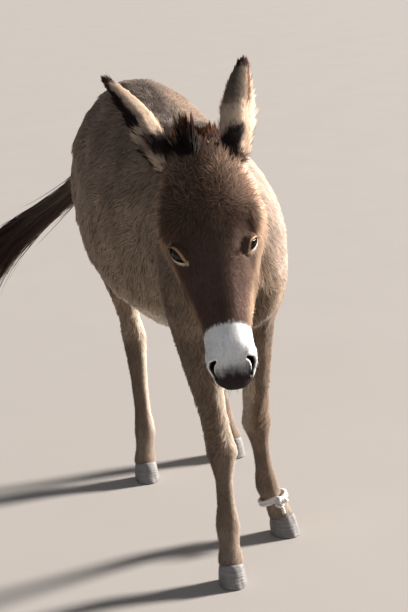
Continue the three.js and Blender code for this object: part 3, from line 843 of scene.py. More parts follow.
def skinMaterial():
    # short hair and bare skin: the under coat that shows between the tufts
    material, wire = newMaterial("short hair and skin")
    place = objectPlace(wire)
    colour = wire.node("ShaderNodeAttribute", {"attribute_name": "coatColour"}, {}, "Color")
    bare = wire.node("ShaderNodeAttribute", {"attribute_name": "bare"}, {}, "Fac")
    hairs = noiseAt(wire, place, 900, 4)
    pores = noiseAt(wire, place, 2600, 2)
    # hair streaks, on average a little darker than the coat: painted shade in the gaps between tufts
    shade = 0.62 + hairs * 0.5
    shade = shade + bare * (0.45 - hairs * 0.4)
    height = hairs * (1 - bare) + pores * bare * 0.3
    bump = wire.node("ShaderNodeBump", {}, {"Strength": 0.5, "Distance": 0.0012, "Height": height})
    finishMaterial(wire, {
        "Base Color": tinted(wire, colour, shade),
        "Roughness": 0.9 - bare * 0.38,
        "Normal": bump,
        "Specular IOR Level": 0.12,
    })
    return material


def eyeMaterial():
    material, wire = newMaterial("wet eye")
    colour = wire.node("ShaderNodeAttribute", {"attribute_name": "eyeColour"}, {}, "Color")
    fibres = noiseAt(wire, objectPlace(wire), 700, 4)
    finishMaterial(wire, {
        "Base Color": tinted(wire, colour, 0.6 + fibres * 0.8),
        "Roughness": 0.12,
        "Specular IOR Level": 0.25,
        "Coat Weight": 0.35,
        "Coat Roughness": 0.02,
    })
    return material


def floorMaterial():
    material, wire = newMaterial("pale floor")
    grain = noiseAt(wire, objectPlace(wire), 3, 2)
    finishMaterial(wire, {
        "Base Color": mixed(wire, grain, stageSet["floorTones"]),
        "Roughness": 0.85,
    })
    return material


skinMesh = meshFrom("skin", skinPoints, skinFaces)
skinColours = markings(skinPoints, skinNormals, skinShares)
# inside the nostrils: the dark skin's own colour deepened by painted shade
skinColours = blend(skinColours, tones["nostril"], skinHollow)
storeColours(skinMesh, "coatColour", skinColours)
storeValues(skinMesh, "bare", np.maximum(bareness(skinPoints, skinShares), skinHollow))
skinNodes = [name for name in fleshNodes if not name.startswith("eye")]
skin = addPiece("skin", skinMesh, skinMaterial(), "coat", skinNodes)
print("skin made")


# Eyeballs, with a clear bulge in front, a wide dark pupil and a brown iris

eyeTones = {
    "iris": paint(48, 27, 17), "rim": paint(16, 10, 8), "pupil": paint(5, 5, 8), "white": paint(70, 50, 41),
}
eyeShape = {"rows": 40, "columns": 64, "bulge": 1.1, "irisReach": 0.66, "pupil": (0.36, 0.19)}


def makeEye(side, way):
    rows, columns = eyeShape["rows"], eyeShape["columns"]
    tilt = np.linspace(0, math.pi, rows + 1)[1:-1]
    turn = np.arange(columns) / columns * 2 * math.pi
    tiltGrid, turnGrid = np.meshgrid(tilt, turn, indexing="ij")
    ball = np.stack([np.sin(tiltGrid) * np.cos(turnGrid), np.sin(tiltGrid) * np.sin(turnGrid), np.cos(tiltGrid)], -1)
    ball = np.concatenate([ball.reshape(-1, 3), [(0, 0, 1), (0, 0, -1)]])
    away = np.hypot(ball[:, 0], ball[:, 1]) + (ball[:, 2] < 0)
    radius = eyeSet["radius"] + eyeShape["bulge"] * (1 - ramp(away, 0.2, 0.75))
    ring = np.arange(rows - 1)[:, None] * columns
    step = np.arange(columns)[None, :]
    after = (step + 1) % columns
    quads = np.stack([ring[:-1] + step, ring[1:] + step, ring[1:] + after, ring[:-1] + after], -1).reshape(-1, 4)
    top, bottom = len(ball) - 2, len(ball) - 1
    first, last = np.arange(columns), np.arange(columns) + (rows - 2) * columns
    faces = np.concatenate([
        quads[:, [0, 1, 2]],
        quads[:, [0, 2, 3]],
        np.stack([np.full(columns, top), first, np.roll(first, -1)], -1),
        np.stack([np.full(columns, bottom), np.roll(last, -1), last], -1),
    ])
    centre = np.array(eyeInHead) * (way, 1, 1)
    local = centre + (ball * radius[:, None]) @ eyeAxes(way)
    if way < 0:
        faces = faces[:, ::-1]
    mesh = meshFrom(f"eyeball_{side}", poll + local @ headAxes.T * mm, faces)
    pupil = np.hypot(ball[:, 0] / eyeShape["pupil"][0], ball[:, 1] / eyeShape["pupil"][1])
    colour = blend(np.tile(eyeTones["white"], (len(ball), 1)), eyeTones["rim"],
                   1 - ramp(away, eyeShape["irisReach"], eyeShape["irisReach"] + 0.08))
    colour = blend(colour, eyeTones["iris"], 1 - ramp(away, eyeShape["irisReach"] - 0.22, eyeShape["irisReach"]))
    colour = blend(colour, eyeTones["pupil"], 1 - ramp(pupil, 0.85, 1.15))
    storeColours(mesh, "eyeColour", colour)
    return addPiece(f"eyeball_{side}", mesh, wetEye, "eye", [f"eye_{side}"])


wetEye = eyeMaterial()
for sideName, sideWay in sides.items():
    makeEye(sideName, sideWay)
print("eyes made")


# Tufts and strands: closed slips of three edges that taper to a point

def slips(name, paths, outs, wide, thick, colours, roots=None):
    # paths is slips x rings x 3 and its last ring is the tip. outs is the way each slip's back
    # faces. wide and thick are half sizes at the rings below the tip. roots are places on a map.
    count, rings = paths.shape[:2]
    along = np.gradient(paths, axis=1)
    across = unit(np.cross(along, outs[:, None, :]))
    over = unit(np.cross(across, along))
    body = paths[:, :-1]
    aside = across[:, :-1] * wide[..., None]
    rise = over[:, :-1] * thick[..., None]
    ring = np.stack([body - aside, body + aside, body + rise], 2).reshape(count, -1, 3)
    points = np.concatenate([ring, paths[:, -1:]], 1)
    lean = 0.35 * across[:, :-1]
    back = 0.75 * outs[:, None, :] + 0.25 * over[:, :-1]
    shading = np.stack([back - lean, back + lean, back + 0 * lean], 2).reshape(count, -1, 3)
    shading = unit(np.concatenate([shading, outs[:, None, :]], 1))
    each = points.shape[1]
    pattern = [(0, 1, 2)]
    for level in range(0, each - 4, 3):
        for a, b in ((0, 1), (1, 2), (2, 0)):
            a, b = a + level, b + level
            pattern += [(a, a + 3, b + 3), (a, b + 3, b)]
    top = each - 4
    pattern += [(top + a, each - 1, top + b) for a, b in ((0, 1), (1, 2), (2, 0))]
    faces = (np.arange(count) * each)[:, None, None] + np.array(pattern)
    mesh = meshFrom(name, points.reshape(-1, 3), faces.reshape(-1, 3))
    shades = np.concatenate([np.repeat(colours[:, :-1], 3, axis=1), colours[:, -1:]], 1)
    storeColours(mesh, "coatColour", np.clip(shades.reshape(-1, 3), 0, 1))
    normals = mesh.attributes.new("custom_normal", "FLOAT_VECTOR", "POINT")
    normals.data.foreach_set("vector", shading.astype(np.float32).ravel())
    if roots is not None:
        levels = np.repeat(np.arange(rings - 1), 3) / (rings - 1)
        levels = np.append(levels, 1)
        corner = np.append(np.tile((-1.0, 1.0, 0.0), rings - 1), 0.0)
        patch = np.stack([corner, levels * 2 - 1], -1) * coatSet["patch"] / 2
        places = (roots[:, None, :] + patch).reshape(-1, 2)
        layer = mesh.uv_layers.new(name="OFBake")
        layer.data.foreach_set("uv", places[faces.ravel()].astype(np.float32).ravel())
    return mesh


def hairMaterial(name, roughness, sheen=0.0):
    material, wire = newMaterial(name)
    colour = wire.node("ShaderNodeAttribute", {"attribute_name": "coatColour"}, {}, "Color")
    fleck = noiseAt(wire, objectPlace(wire), 420, 2)
    finishMaterial(wire, {
        "Base Color": tinted(wire, colour, 0.72 + fleck * 0.56),
        "Roughness": roughness,
        "Specular IOR Level": 0.07,
        "Sheen Weight": sheen,
        "Sheen Roughness": 0.45,
    })
    return material


# The tether: laid rope of three strands, twice round the left fore pastern, knotted in front

tetherSet = {
    "fetlock": (117, -138, 121), "coronet": (142, -150, 50), "along": 0.46,
    "reach": 32.6, "pitch": 7.6, "knotOut": (0.25, -1, 0.1), "knotReach": 41, "knotSize": (4.6, 3.0, 5.6),
    "strand": 2.15, "offset": 2.05, "lay": 17, "step": 1.5, "sides": 7, "end": 25,
}


def tetherWays():
    fetlock, coronet = np.array(tetherSet["fetlock"], float), np.array(tetherSet["coronet"], float)
    axis = unit(coronet - fetlock)
    middle = fetlock + (coronet - fetlock) * tetherSet["along"]
    out = np.array(tetherSet["knotOut"], float)
    ahead = unit(out - axis * (out @ axis))
    return middle, axis, ahead, np.cross(axis, ahead), unit(out)


# The coat, over the skin, in pieces small enough to bake

coatSet = {
    "sink": 0.7,  # how far a tuft's root goes into the skin
    "swing": 0.2,  # how much neighbours' directions differ
    "swirls": ((70, 0.3), (26, 0.36), (11, 0.2)),  # waves in the coat: their size and their turn
    "clump": 0.75,  # the locks' size, as a share of the hair's length
    "clumpPull": 0.42,
    "thin": 0.3,  # a tuft's thickness, as a share of its width
    "shades": {2: (0.74, 1.24), 3: (0.7, 1.0, 1.3)},  # from root to tip: darker roots as painted shade among the tufts, paler tips as the hair's own colour and painted highlight
    "most": 190000,
    "patch": 0.003,
    "curly": 1.6,  # the extra turn of the hair on the forehead
    "paleTipsAndHighlights": 2.4,  # and how much paler its tips are, also painted highlights on the head's left, which faces the light
}
# Piece names, the regions they take and how many rings their tufts have
coatGroups = [
    ("coat_head", ["head"], 2),
    ("coat_ears", ["ear"], 2),
    ("coat_neck", ["neck"], 3),
    ("coat_trunk", ["trunk"], 3),
    ("coat_forelegs", ["upperFore"], 3),
    ("coat_hindlegs", ["upperHind", "tail"], 3),
    ("coat_feet", ["cannon", "pastern"], 2),
]
# On the head, at these distances below the poll: hair length, how far it stands off, and width
headHair = {
    "at": (-30, 40, 100, 150, 200, 330, 352, 372, 470),
    "length": (18, 21, 22, 17, 11, 10, 7, 5.5, 4),
    "lift": (0.35, 0.55, 0.65, 0.5, 0.28, 0.26, 0.24, 0.22, 0.2),
    "wide": (2.7, 2.7, 2.6, 2.1, 1.6, 1.5, 1.2, 1.1, 1.0),
}


def coatMeasures(points, normals, shares):
    # hair length, lift, width and spacing at every point, in millimetres
    local = headPlace(points)
    localNormals = normals @ headAxes
    share = {name: shares[:, k] for k, name in enumerate(regions)}
    length, lift, wide, apart = (
        shares @ np.array([regions[name][key] for name in regions])
        for key in ("hair", "lift", "wide", "apart")
    )
    x, y, z = local.T
    own = {key: np.interp(y, headHair["at"], headHair[key]) for key in ("length", "lift", "wide")}
    jaw = ramp(-localNormals[:, 2], -0.15, 0.5) * (1 - ramp(y, 300, 360))
    own["length"] = own["length"] + 7 * jaw
    sunny = ramp(-localNormals[:, 0], 0.1, 0.5) * (1 - ramp(y, 320, 350))
    own["lift"] = own["lift"] + 0.12 * sunny
    eyeEdge = np.full(len(points), 99.0)
    for way in sides.values():
        a, b, c = eyePlace(local, way).T
        eyeEdge = np.minimum(eyeEdge, np.where(c > -14, lidDistance(a, b, way), 99))
    own["length"] = 2 + (own["length"] - 2) * ramp(eyeEdge, 2, 22)
    lid = 1 - ramp(eyeEdge, 6, 16)
    own["wide"] = own["wide"] * (1 - 0.35 * lid)
    head = share["head"]
    length = length + head * (own["length"] - regions["head"]["hair"])
    lift = lift + head * (own["lift"] - regions["head"]["lift"])
    wide = wide + head * (own["wide"] - regions["head"]["wide"])
    apart = apart + head * (own["wide"] * 1.42 - regions["head"]["apart"])

    up, across, _, back = earOf(local)
    facing = (localNormals * back).sum(1)
    rim = ramp(np.abs(across), 18, 30)
    tip = ramp(up, 0.85, 1.0)
    length = length + share["ear"] * (6 * rim + 7 * ramp(-facing, -0.1, 0.4) * (1 - tip) + 3 * tip)
    lift = lift + share["ear"] * (0.2 * rim + 0.25 * tip)

    bodyTop = share["trunk"] * ramp(normals[:, 2], 0.3, 0.8)
    length = length * (1 - 0.22 * bodyTop)
    drawn = (points - partShift) / mm
    atHoof = share["pastern"] * (1 - ramp(drawn[:, 2], 50, 64))
    length = length * (1 - 0.3 * atHoof)
    middle, axis = tetherWays()[:2]
    fromTether = np.abs((drawn - middle) @ axis) + 0.2 * np.linalg.norm(drawn - middle, axis=1)
    length = length * (1 - 0.55 * (1 - ramp(fromTether, 14, 22)))
    return length, lift, wide, apart


def scattered(points, faces, apart, chosen, rng):
    # random places on the chosen faces, one for each square of the wanted spacing
    a, b, c = (points[faces[chosen, k]] for k in range(3))
    area = np.linalg.norm(np.cross(b - a, c - a), axis=1) / 2
    spacing = apart[faces[chosen]].mean(1) * mm
    total = np.concatenate([[0], np.cumsum(area / spacing**2)])
    counts = np.diff(np.floor(total + rng.random()).astype(int))
    found = np.repeat(chosen, counts)
    u, v = rng.random((2, len(found)))
    over = u + v > 1
    u, v = np.where(over, 1 - u, u), np.where(over, 1 - v, v)
    return found, np.stack([1 - u - v, u, v], -1)


def unwrapped(points, faces):
    # each face's corners on a map of the skin, from 0 to 1
    sheet = addPiece("unwrap", meshFrom("unwrap", points, faces))
    bpy.ops.object.select_all(action="DESELECT")
    sheet.select_set(True)
    bpy.context.view_layer.objects.active = sheet
    bpy.ops.object.mode_set(mode="EDIT")
    bpy.ops.mesh.select_all(action="SELECT")
    bpy.ops.uv.smart_project(angle_limit=1.15, island_margin=0.004)
    bpy.ops.object.mode_set(mode="OBJECT")
    corners = np.empty(faces.size * 2, np.float32)
    sheet.data.uv_layers.active.data.foreach_get("uv", corners)
    bpy.data.objects.remove(sheet)
    return corners.reshape(-1, 3, 2)


def turned(ways, normals, angles):
    aside = np.cross(normals, ways)
    return ways * np.cos(angles)[:, None] + aside * np.sin(angles)[:, None]


def clumped(roots, tips, size, pull):
    # tips drawn towards the middle of their lock
    cell = np.floor((roots + 0.3 * size * np.stack([ripple(roots, 2 * size, k) for k in (21, 22, 23)], -1))
                    / size).astype(np.int64)
    key = (cell * np.array((73856093, 19349663, 83492791))).sum(1)
    _, lock = np.unique(key, return_inverse=True)
    members = np.bincount(lock)
    middle = np.stack([np.bincount(lock, tips[:, k]) for k in range(3)], -1) / members[:, None]
    return tips + pull * (middle[lock] - tips)


def makeCoat():
    length, lift, wide, apart = coatMeasures(skinPoints, skinNormals, skinShares)
    bare = np.maximum(bareness(skinPoints, skinShares), skinHollow)
    region = skinShares[skinFaces].mean(1).argmax(1)
    names = list(regions)
    total = 0
    for order, (title, group, rings) in enumerate(coatGroups):
        rng = np.random.default_rng(100 + order)
        chosen = np.flatnonzero(np.isin(region, [names.index(name) for name in group]))
        found, weights = scattered(skinPoints, skinFaces, apart, chosen, rng)

        def at(values):
            corners = values[skinFaces[found]]
            if values.ndim == 1:
                return (corners * weights).sum(1)
            return (corners * weights[..., None]).sum(1)

        keep = at(bare) < rng.uniform(0.25, 0.6, len(found))
        found, weights = found[keep], weights[keep]
        roots, outs = at(skinPoints), unit(at(skinNormals))
        ways = onPlane(at(skinLie), outs)
        local = headPlace(roots)
        count = len(roots)
        size = at(length) * rng.uniform(0.75, 1.25, count) * mm
        angles = rng.normal(0, coatSet["swing"], count)
        for seed, (reach, turn) in enumerate(coatSet["swirls"]):
            angles += turn * ripple(roots, reach * mm, 40 + seed) * ramp(size, 5 * mm, 22 * mm)
        onHead = at(skinShares[:, names.index("head")])
        brow = onHead * ramp(local[:, 1], 10, 34) * (1 - ramp(local[:, 1], 90, 170))
        # the head's left side, which faces the light, joins the forehead: its paler tips there are painted
        # highlights
        beside = ramp(-local[:, 0], 18, 30) * (1 - ramp(-local[:, 0], 50, 62))
        brow += 0.7 * onHead * beside * ramp(local[:, 1], 170, 220) * (1 - ramp(local[:, 1], 320, 345))
        angles += coatSet["curly"] * brow * rng.normal(0, 1, count)
        ways = turned(ways, outs, angles)
        stand = at(lift) * rng.uniform(0.55, 1.5, count)
        tips = roots + size[:, None] * (ways + outs * stand[:, None])
        tips = clumped(roots, tips, coatSet["clump"] * np.median(size), coatSet["clumpPull"])
        start = roots - outs * coatSet["sink"] * mm
        middle = roots + 0.5 * (tips - roots) + outs * (size * stand * 0.3)[:, None]
        paths = np.stack([start, tips] if rings == 2 else [start, middle, tips], 1)
        half = at(wide) * rng.uniform(0.7, 1.25, count) * mm / 2
        widths = half[:, None] * np.array((1.0, 0.8)[:rings - 1])
        tone = markings(roots, outs, at(skinShares))
        speck = rng.normal(1, 0.13, count) * (1 + 0.1 * ripple(roots, 30 * mm, 61))
        warmth = 1 + rng.normal(0, 0.04, count)[:, None] * np.array((1, 0, -1))
        tone = tone * speck[:, None] * warmth
        # darker roots and paler tips: painted shade and painted highlight over the hair's own paler tips
        shades = tone[:, None, :] * np.array(coatSet["shades"][rings])[None, :, None]
        shades[:, -1] *= 1 + (coatSet["paleTipsAndHighlights"] * brow * rng.random(count) ** 2)[:, None]
        corners = unwrapped(skinPoints, skinFaces[chosen])
        places = (corners[np.searchsorted(chosen, found)] * weights[..., None]).sum(1)
        each = (4, 10)[rings - 2]
        parts = int(math.ceil(count * each / coatSet["most"]))
        order = np.argsort(roots[:, 0])
        for number, some in enumerate(np.array_split(order, parts)):
            name = title if parts == 1 else f"{title}_{number + 1}"
            mesh = slips(name, paths[some], outs[some], widths[some], widths[some] * 2 * coatSet["thin"],
                         shades[some], places[some])
            addPiece(name, mesh, faceHair if group[0] in ("head", "ear") else bodyHair, "coat")
        total += count * each
        print(title, count, "tufts", parts, "pieces")
    print("coat made:", total, "triangles")


faceHair = hairMaterial("hair of the head", 0.8)
bodyHair = hairMaterial("hair of the body", 0.8, 0.12)
makeCoat()


# Long hair: the mane and the tail, as strands along the lines they follow. Places and sizes are
# as drawn, in millimetres: where the line goes, its half width, and its reach above and below.

maneSet = {
    "line": [
        ((0, -215, 990), 12, 18, 34), ((-10, -300, 992), 17, 26, 40), ((-34, -380, 1002), 20, 28, 44),
        ((-68, -455, 1012), 24, 32, 46), ((-98, -515, 1018), 30, 46, 46),
        ((-110, -552, 1022), 33, 54, 42), ((-114, -576, 1022), 20, 34, 26),
    ],
    "upward": (0, 0, 1),
    "strands": 3000,
    "rings": 5,
    "wide": 1.5,
    "locks": (30, 3.4),  # along and across
    "scatter": 5,
    "pull": 0.72,
    "spread": 1.35,
    "frontRise": 22,
    "fall": 58,  # how much lower the tuft is on the donkey's left
    "lean": (-4, 16, 0),  # how the front of the tuft leans
    "dark": paint(22, 14, 13),
    "tip": paint(118, 72, 44),
    "pale": paint(196, 158, 128),
}
tailSet = {
    "line": [
        ((-48, 505, 930), 30, 28, 26), ((-62, 568, 888), 27, 26, 25), ((-112, 600, 806), 25, 25, 25),
        ((-182, 604, 728), 26, 28, 28), ((-256, 602, 676), 28, 33, 30), ((-332, 598, 628), 30, 41, 38),
        ((-404, 592, 570), 30, 48, 44), ((-460, 584, 500), 25, 46, 42), ((-494, 576, 424), 17, 30, 28),
        ((-508, 570, 366), 6, 9, 9),
    ],
    "upward": (-0.5, 0.3, 0.8),
    "strands": 2100,
    "rings": 8,
    "wide": 1.7,
    "from": (1.3, 6.4),  # where along the line strands begin
    "wave": 5,
    "loose": 0.06,  # the share of strands that stray from the rest
    "dark": paint(54, 41, 36),
    "grey": paint(138, 120, 104),
}


def lineAt(line, column, where):
    # a column of a line's stations, on a smooth curve through them
    values = np.array([np.atleast_1d(station[column]) for station in line], float)
    last = len(values) - 1
    step = np.clip(np.floor(where).astype(int), 0, last - 1)
    part = (where - step)[:, None]
    before, a, b, after = (values[np.clip(step + k, 0, last)] for k in (-1, 0, 1, 2))
    return (a * (2 * part**3 - 3 * part**2 + 1) + (b - before) / 2 * (part**3 - 2 * part**2 + part)
            + b * (3 * part**2 - 2 * part**3) + (after - a) / 2 * (part**3 - part**2))


def lineFrame(settings, where):
    # the line's middle there, and the ways across it and up from it
    line = settings["line"]
    last = len(line) - 1
    ahead = lineAt(line, 0, np.minimum(where + 0.05, last))
    along = unit(ahead - lineAt(line, 0, np.maximum(where - 0.05, 0)))
    across = unit(np.cross(along, settings["upward"]))
    return lineAt(line, 0, where), across, np.cross(across, along)


def makeMane():
    rng = np.random.default_rng(7)
    count, rings = maneSet["strands"], maneSet["rings"]
    last = len(maneSet["line"]) - 1
    where = last * rng.random(count) ** 0.62
    side = np.clip(rng.normal(0, 0.55, count), -1, 1)
    middle, across, up = lineFrame(maneSet, where)
    half, high, low = (lineAt(maneSet["line"], k, where)[:, 0] for k in (1, 2, 3))
    roots = middle + across * (half * side * 0.6)[:, None] - up * (low * 0.62)[:, None]
    lock = np.round(where / last * maneSet["locks"][0]) * 100 + np.round(side * maneSet["locks"][1])
    _, lock = np.unique(lock, return_inverse=True)
    shift = rng.normal(0, maneSet["scatter"], (lock.max() + 1, 3))[lock]
    arch = np.sqrt(1 - 0.55 * side**2) * rng.uniform(0.72, 1.1, lock.max() + 1)[lock]
    front = ramp(where, last - 2.2, last)
    high = high + maneSet["frontRise"] * front
    high = high - maneSet["fall"] * ramp(where, 1, last - 1) * ramp(-side, -0.3, 0.9)
    tips = middle + across * (half * side * maneSet["spread"])[:, None] + up * (high * arch)[:, None]
    tips = tips + shift + np.array(maneSet["lean"]) * front[:, None]
    members = np.bincount(lock)
    centre = np.stack([np.bincount(lock, tips[:, k]) for k in range(3)], -1) / members[:, None]
    tips = tips + maneSet["pull"] * (centre[lock] - tips) + rng.normal(0, 1.5, (count, 3))
    tips = tips - up * (26 * rng.random(count) ** 2)[:, None]
    share = np.linspace(0, 1, rings)[None, :, None]
    bow = across * (side * 4)[:, None] + rng.normal(0, 1.5, (count, 3))
    paths = roots[:, None] * (1 - share) + tips[:, None] * share + bow[:, None] * np.sin(math.pi * share)
    outs = unit(across * side[:, None] + up * 0.2 + np.array((0, -0.6, 0.3)))
    widths = maneSet["wide"] * rng.uniform(0.6, 1.3, count)[:, None] * np.array((1, 1, 0.8, 0.45))
    paleness = ramp(where, last - 3.2, last - 1.5) * ramp(-paths[:, -1, 0], 122, 148)
    edge = np.maximum(ramp(np.abs(side), 0.3, 0.8), ramp(arch, 0.86, 1.0))
    tint = blend(np.tile(maneSet["tip"], (count, 1)), maneSet["pale"], paleness)
    reach = np.linspace(0, 1, rings)[None, :] + rng.uniform(-0.06, 0.06, count)[:, None]
    lit = ramp(reach, 0.74, 1.0) * (0.2 + 0.8 * edge)[:, None]
    tone = blend(np.tile(maneSet["dark"], (count, rings, 1)), tint[:, None, :], lit)
    tone = tone * rng.uniform(0.75, 1.25, count)[:, None, None]
    mesh = slips("mane_hair", fromPart(paths), outs, widths * mm, widths * 0.6 * mm, tone)
    addPiece("mane_hair", mesh, longHair, "dark_hair", ["mane"])


def makeTail():
    rng = np.random.default_rng(8)
    count, rings = tailSet["strands"], tailSet["rings"]
    last = len(tailSet["line"]) - 1
    low, high = tailSet["from"]
    start = low + (high - low) * rng.random(count) ** 1.3
    end = np.minimum(start + rng.uniform(2.6, 4.6, count), last - 0.25 * rng.random(count) ** 2 * 5)
    angle = rng.uniform(0, 2 * math.pi, count)
    out = np.sqrt(rng.uniform(0.1, 1, count))
    stray = np.where(rng.random(count) < tailSet["loose"], rng.uniform(0.2, 0.75, count), 0)
    phase = rng.uniform(0, 2 * math.pi, (2, count))
    paths = np.empty((count, rings, 3))
    for k in range(rings):
        share = k / (rings - 1)
        where = start + (end - start) * share
        middle, across, up = lineFrame(tailSet, where)
        half, above, below = (lineAt(tailSet["line"], n, where)[:, 0] for n in (1, 2, 3))
        reach = np.where(np.sin(angle) > 0, above, below)
        far = out * (0.86 + 0.14 * share) * (1 + stray * share)
        wave = tailSet["wave"] * share * np.sin(phase + where * 2.1)
        paths[:, k] = (middle + across * (half * far * np.cos(angle) + wave[0])[:, None]
                       + up * (reach * far * np.sin(angle) + wave[1])[:, None])
    _, across, up = lineFrame(tailSet, (start + end) / 2)
    outs = unit(across * np.cos(angle)[:, None] + up * np.sin(angle)[:, None])
    taper = np.array((0.55, 0.9, 1, 1, 0.9, 0.75, 0.5))
    widths = tailSet["wide"] * rng.uniform(0.6, 1.3, count)[:, None] * taper
    greyness = (1 - ramp(start, 1.6, 4.2)) * (0.35 + 0.65 * ramp(outs[:, 2], -0.2, 0.7))
    fade = 1 - np.linspace(0, 1, rings)[None, :] ** 0.8
    tone = blend(np.tile(tailSet["dark"], (count, rings, 1)), tailSet["grey"], greyness[:, None] * fade)
    tone = tone * rng.uniform(0.7, 1.3, count)[:, None, None]
    mesh = slips("tail_hair", fromPart(paths), outs, widths * mm, widths * 0.6 * mm, tone)
    addPiece("tail_hair", mesh, longHair, "dark_hair", ["tail_switch"])


# Lashes along the upper lids and whiskers round the mouth

feelerSet = {"lashes": 38, "lash": 13, "whiskers": 70, "whisker": (12, 30), "wide": 0.32}


def makeFeelers():
    rng = np.random.default_rng(9)
    starts, tips, outs = [], [], []
    for way in sides.values():
        along, over, out = eyeAxes(way)
        where = np.linspace(-0.8, 0.62, feelerSet["lashes"])
        a = eyeSet["open"][way] * eyeSet["slit"] * where + eyeSet["shift"]
        b = eyeSet["open"][way] * eyeSet["upper"] * (1 - where**2) ** 0.8 + 0.8
        lidRadius = eyeSet["radius"] + eyeSet["lid"]
        c = np.sqrt(np.maximum(lidRadius**2 - (a / eyeSet["stretch"]) ** 2 - b**2, 0))
        seat = np.array(eyeInHead) * (way, 1, 1) + np.stack([a, b, c - 0.5], -1) @ eyeAxes(way)
        size = feelerSet["lash"] * rng.uniform(0.7, 1.2, len(a))[:, None]
        drop = out * 0.86 - over * rng.uniform(0.15, 0.5, len(a))[:, None] + along * (a / 60)[:, None]
        starts.append(poll + seat @ headAxes.T * mm)
        tips.append(starts[-1] + size * mm * (drop @ headAxes.T))
        outs.append(np.tile(headAxes @ over, (len(a), 1)))
    local = headPlace(skinPoints)
    normals = skinNormals @ headAxes
    onHead = skinShares[:, list(regions).index("head")] > 0.9
    wanted = onHead & (local[:, 1] > 392) & (normals[:, 2] < 0.72) & (skinHollow < 0.1)
    chosen = rng.choice(np.flatnonzero(wanted), feelerSet["whiskers"], replace=False)
    size = rng.uniform(*feelerSet["whisker"], len(chosen))[:, None] * mm
    ways = unit(skinNormals[chosen] + 0.5 * unit(skinLie[chosen]) + rng.normal(0, 0.25, (len(chosen), 3)))
    starts.append(skinPoints[chosen])
    tips.append(skinPoints[chosen] + size * ways)
    outs.append(skinNormals[chosen] + 0.3 * ways[:, [1, 2, 0]])
    starts, tips, outs = (np.concatenate(parts) for parts in (starts, tips, outs))
    sag = np.zeros_like(tips)
    sag[:, 2] = 0.12 * np.linalg.norm(tips - starts, axis=1)
    paths = np.stack([starts, (starts + tips) / 2 + sag, tips], 1)
    widths = np.full((len(starts), 2), feelerSet["wide"] * mm) * (1, 0.7)
    tone = np.tile(paint(40, 32, 28), (len(starts), 3, 1))
    mesh = slips("lashes_whiskers", paths, unit(outs), widths, widths, tone)
    addPiece("lashes_whiskers", mesh, longHair, "dark_hair")


longHair = hairMaterial("long hair", 0.7)
makeMane()
makeTail()
makeFeelers()
print("mane, tail and feelers made")


# Hooves: where each stands and how far its toe is turned, towards the donkey's left

hoofPlaces = {
    "fore_hoof_right": ((-33, -361), -2),
    "fore_hoof_left": ((142, -150), 40),
    "hind_hoof_right": ((-95, 299), 2),
    "hind_hoof_left": ((158, 384), 14),
}
hoofSet = {
    "toe": 39.6, "heel": 33.6, "width": 31.6, "taper": 0.14, "lean": 12, "block": 64,
    "top": 43.6, "slope": 20 / 74,
    "rows": 30, "columns": 72,
    "edge": 2.4,  # how far the sole's edge is rounded
    "ring": 0.42, "ringApart": 6.0,
    "cleft": 7.0,
}


def makeHoof(name, place, turn):
    rows, columns = hoofSet["rows"], hoofSet["columns"]
    angle = np.arange(columns) / columns * 2 * math.pi
    reach = np.where(np.sin(angle) > 0, hoofSet["toe"], hoofSet["heel"])
    reach = reach * np.sign(np.sin(angle)) * np.abs(np.sin(angle)) ** 0.9
    slope, block = hoofSet["slope"], hoofSet["block"]
    rise = 1 + slope * (hoofSet["lean"] + hoofSet["taper"] * reach) / block
    top = (hoofSet["top"] + slope * (hoofSet["lean"] + reach)) / rise
    share = np.linspace(0, 1, rows)[:, None] ** 0.9
    height = share * top
    spread = 1 - hoofSet["taper"] * height / block
    ahead = hoofSet["lean"] * (1 - height / block) + reach * spread
    aside = hoofSet["width"] * np.cos(angle) * spread
    places = np.stack([aside, ahead, height], -1).reshape(-1, 3)
    middle = np.stack([0 * height, hoofSet["lean"] * (1 - height / block), height], -1).reshape(-1, 3)
    below = (top - height).ravel()
    seed = len(name) + abs(turn)
    wear = ripple(places, 16, seed)
    push = hoofSet["ring"] * (np.sin(2 * math.pi * (below + 1.2 * wear) / hoofSet["ringApart"]) - 1)
    push += 0.5 * ripple(places * (1, 1, 0.25), 7, seed + 1) - 0.5
    push -= hoofSet["edge"] * (1 - ramp(places[:, 2] + 0.6 * wear, 0, 3.5)) ** 2
    push -= 2.6 * (1 - ramp(below, 0, 5))
    push -= 0.6 * (1 - ramp(below, 6, 12)) * ramp(below, 3, 6)
    back = ramp(-(places[:, 1] - middle[:, 1]), 14, 28) * ramp(places[:, 2], 2, 14)
    push -= hoofSet["cleft"] * np.exp(-(places[:, 0] / 5.5) ** 2) * back
    places = places + push[:, None] * unit(places - middle)
    caps = np.array([(0, hoofSet["lean"], 0), (0, 0, hoofSet["top"] + 1)], float)
    places = np.concatenate([places, caps])
    first, after = np.arange(columns), np.roll(np.arange(columns), -1)
    faces = []
    for row in range(rows - 1):
        a, b = first + row * columns, after + row * columns
        faces += [np.stack([a, b, b + columns], -1), np.stack([a, b + columns, a + columns], -1)]
    last = (rows - 1) * columns
    faces.append(np.stack([after, first, np.full(columns, len(places) - 2)], -1))
    faces.append(np.stack([first + last, after + last, np.full(columns, len(places) - 1)], -1))
    angle = math.radians(turn)
    forward = np.array((math.sin(angle), -math.cos(angle)))
    across = np.array((math.cos(angle), math.sin(angle)))
    flat = np.array(place) + places[:, [0]] * across + places[:, [1]] * forward
    faces = np.concatenate(faces)
    points = fromPart(np.column_stack([flat, places[:, 2]]))
    if meshVolume(points, faces) < 0:
        faces = faces[:, ::-1]
    addPiece(f"{name}_horn", meshFrom(name, points, faces), horn, "hoof", [name])


def meshVolume(points, faces):
    a, b, c = (points[faces[:, k]] - points.mean(0) for k in range(3))
    return (a * np.cross(b, c)).sum() / 6


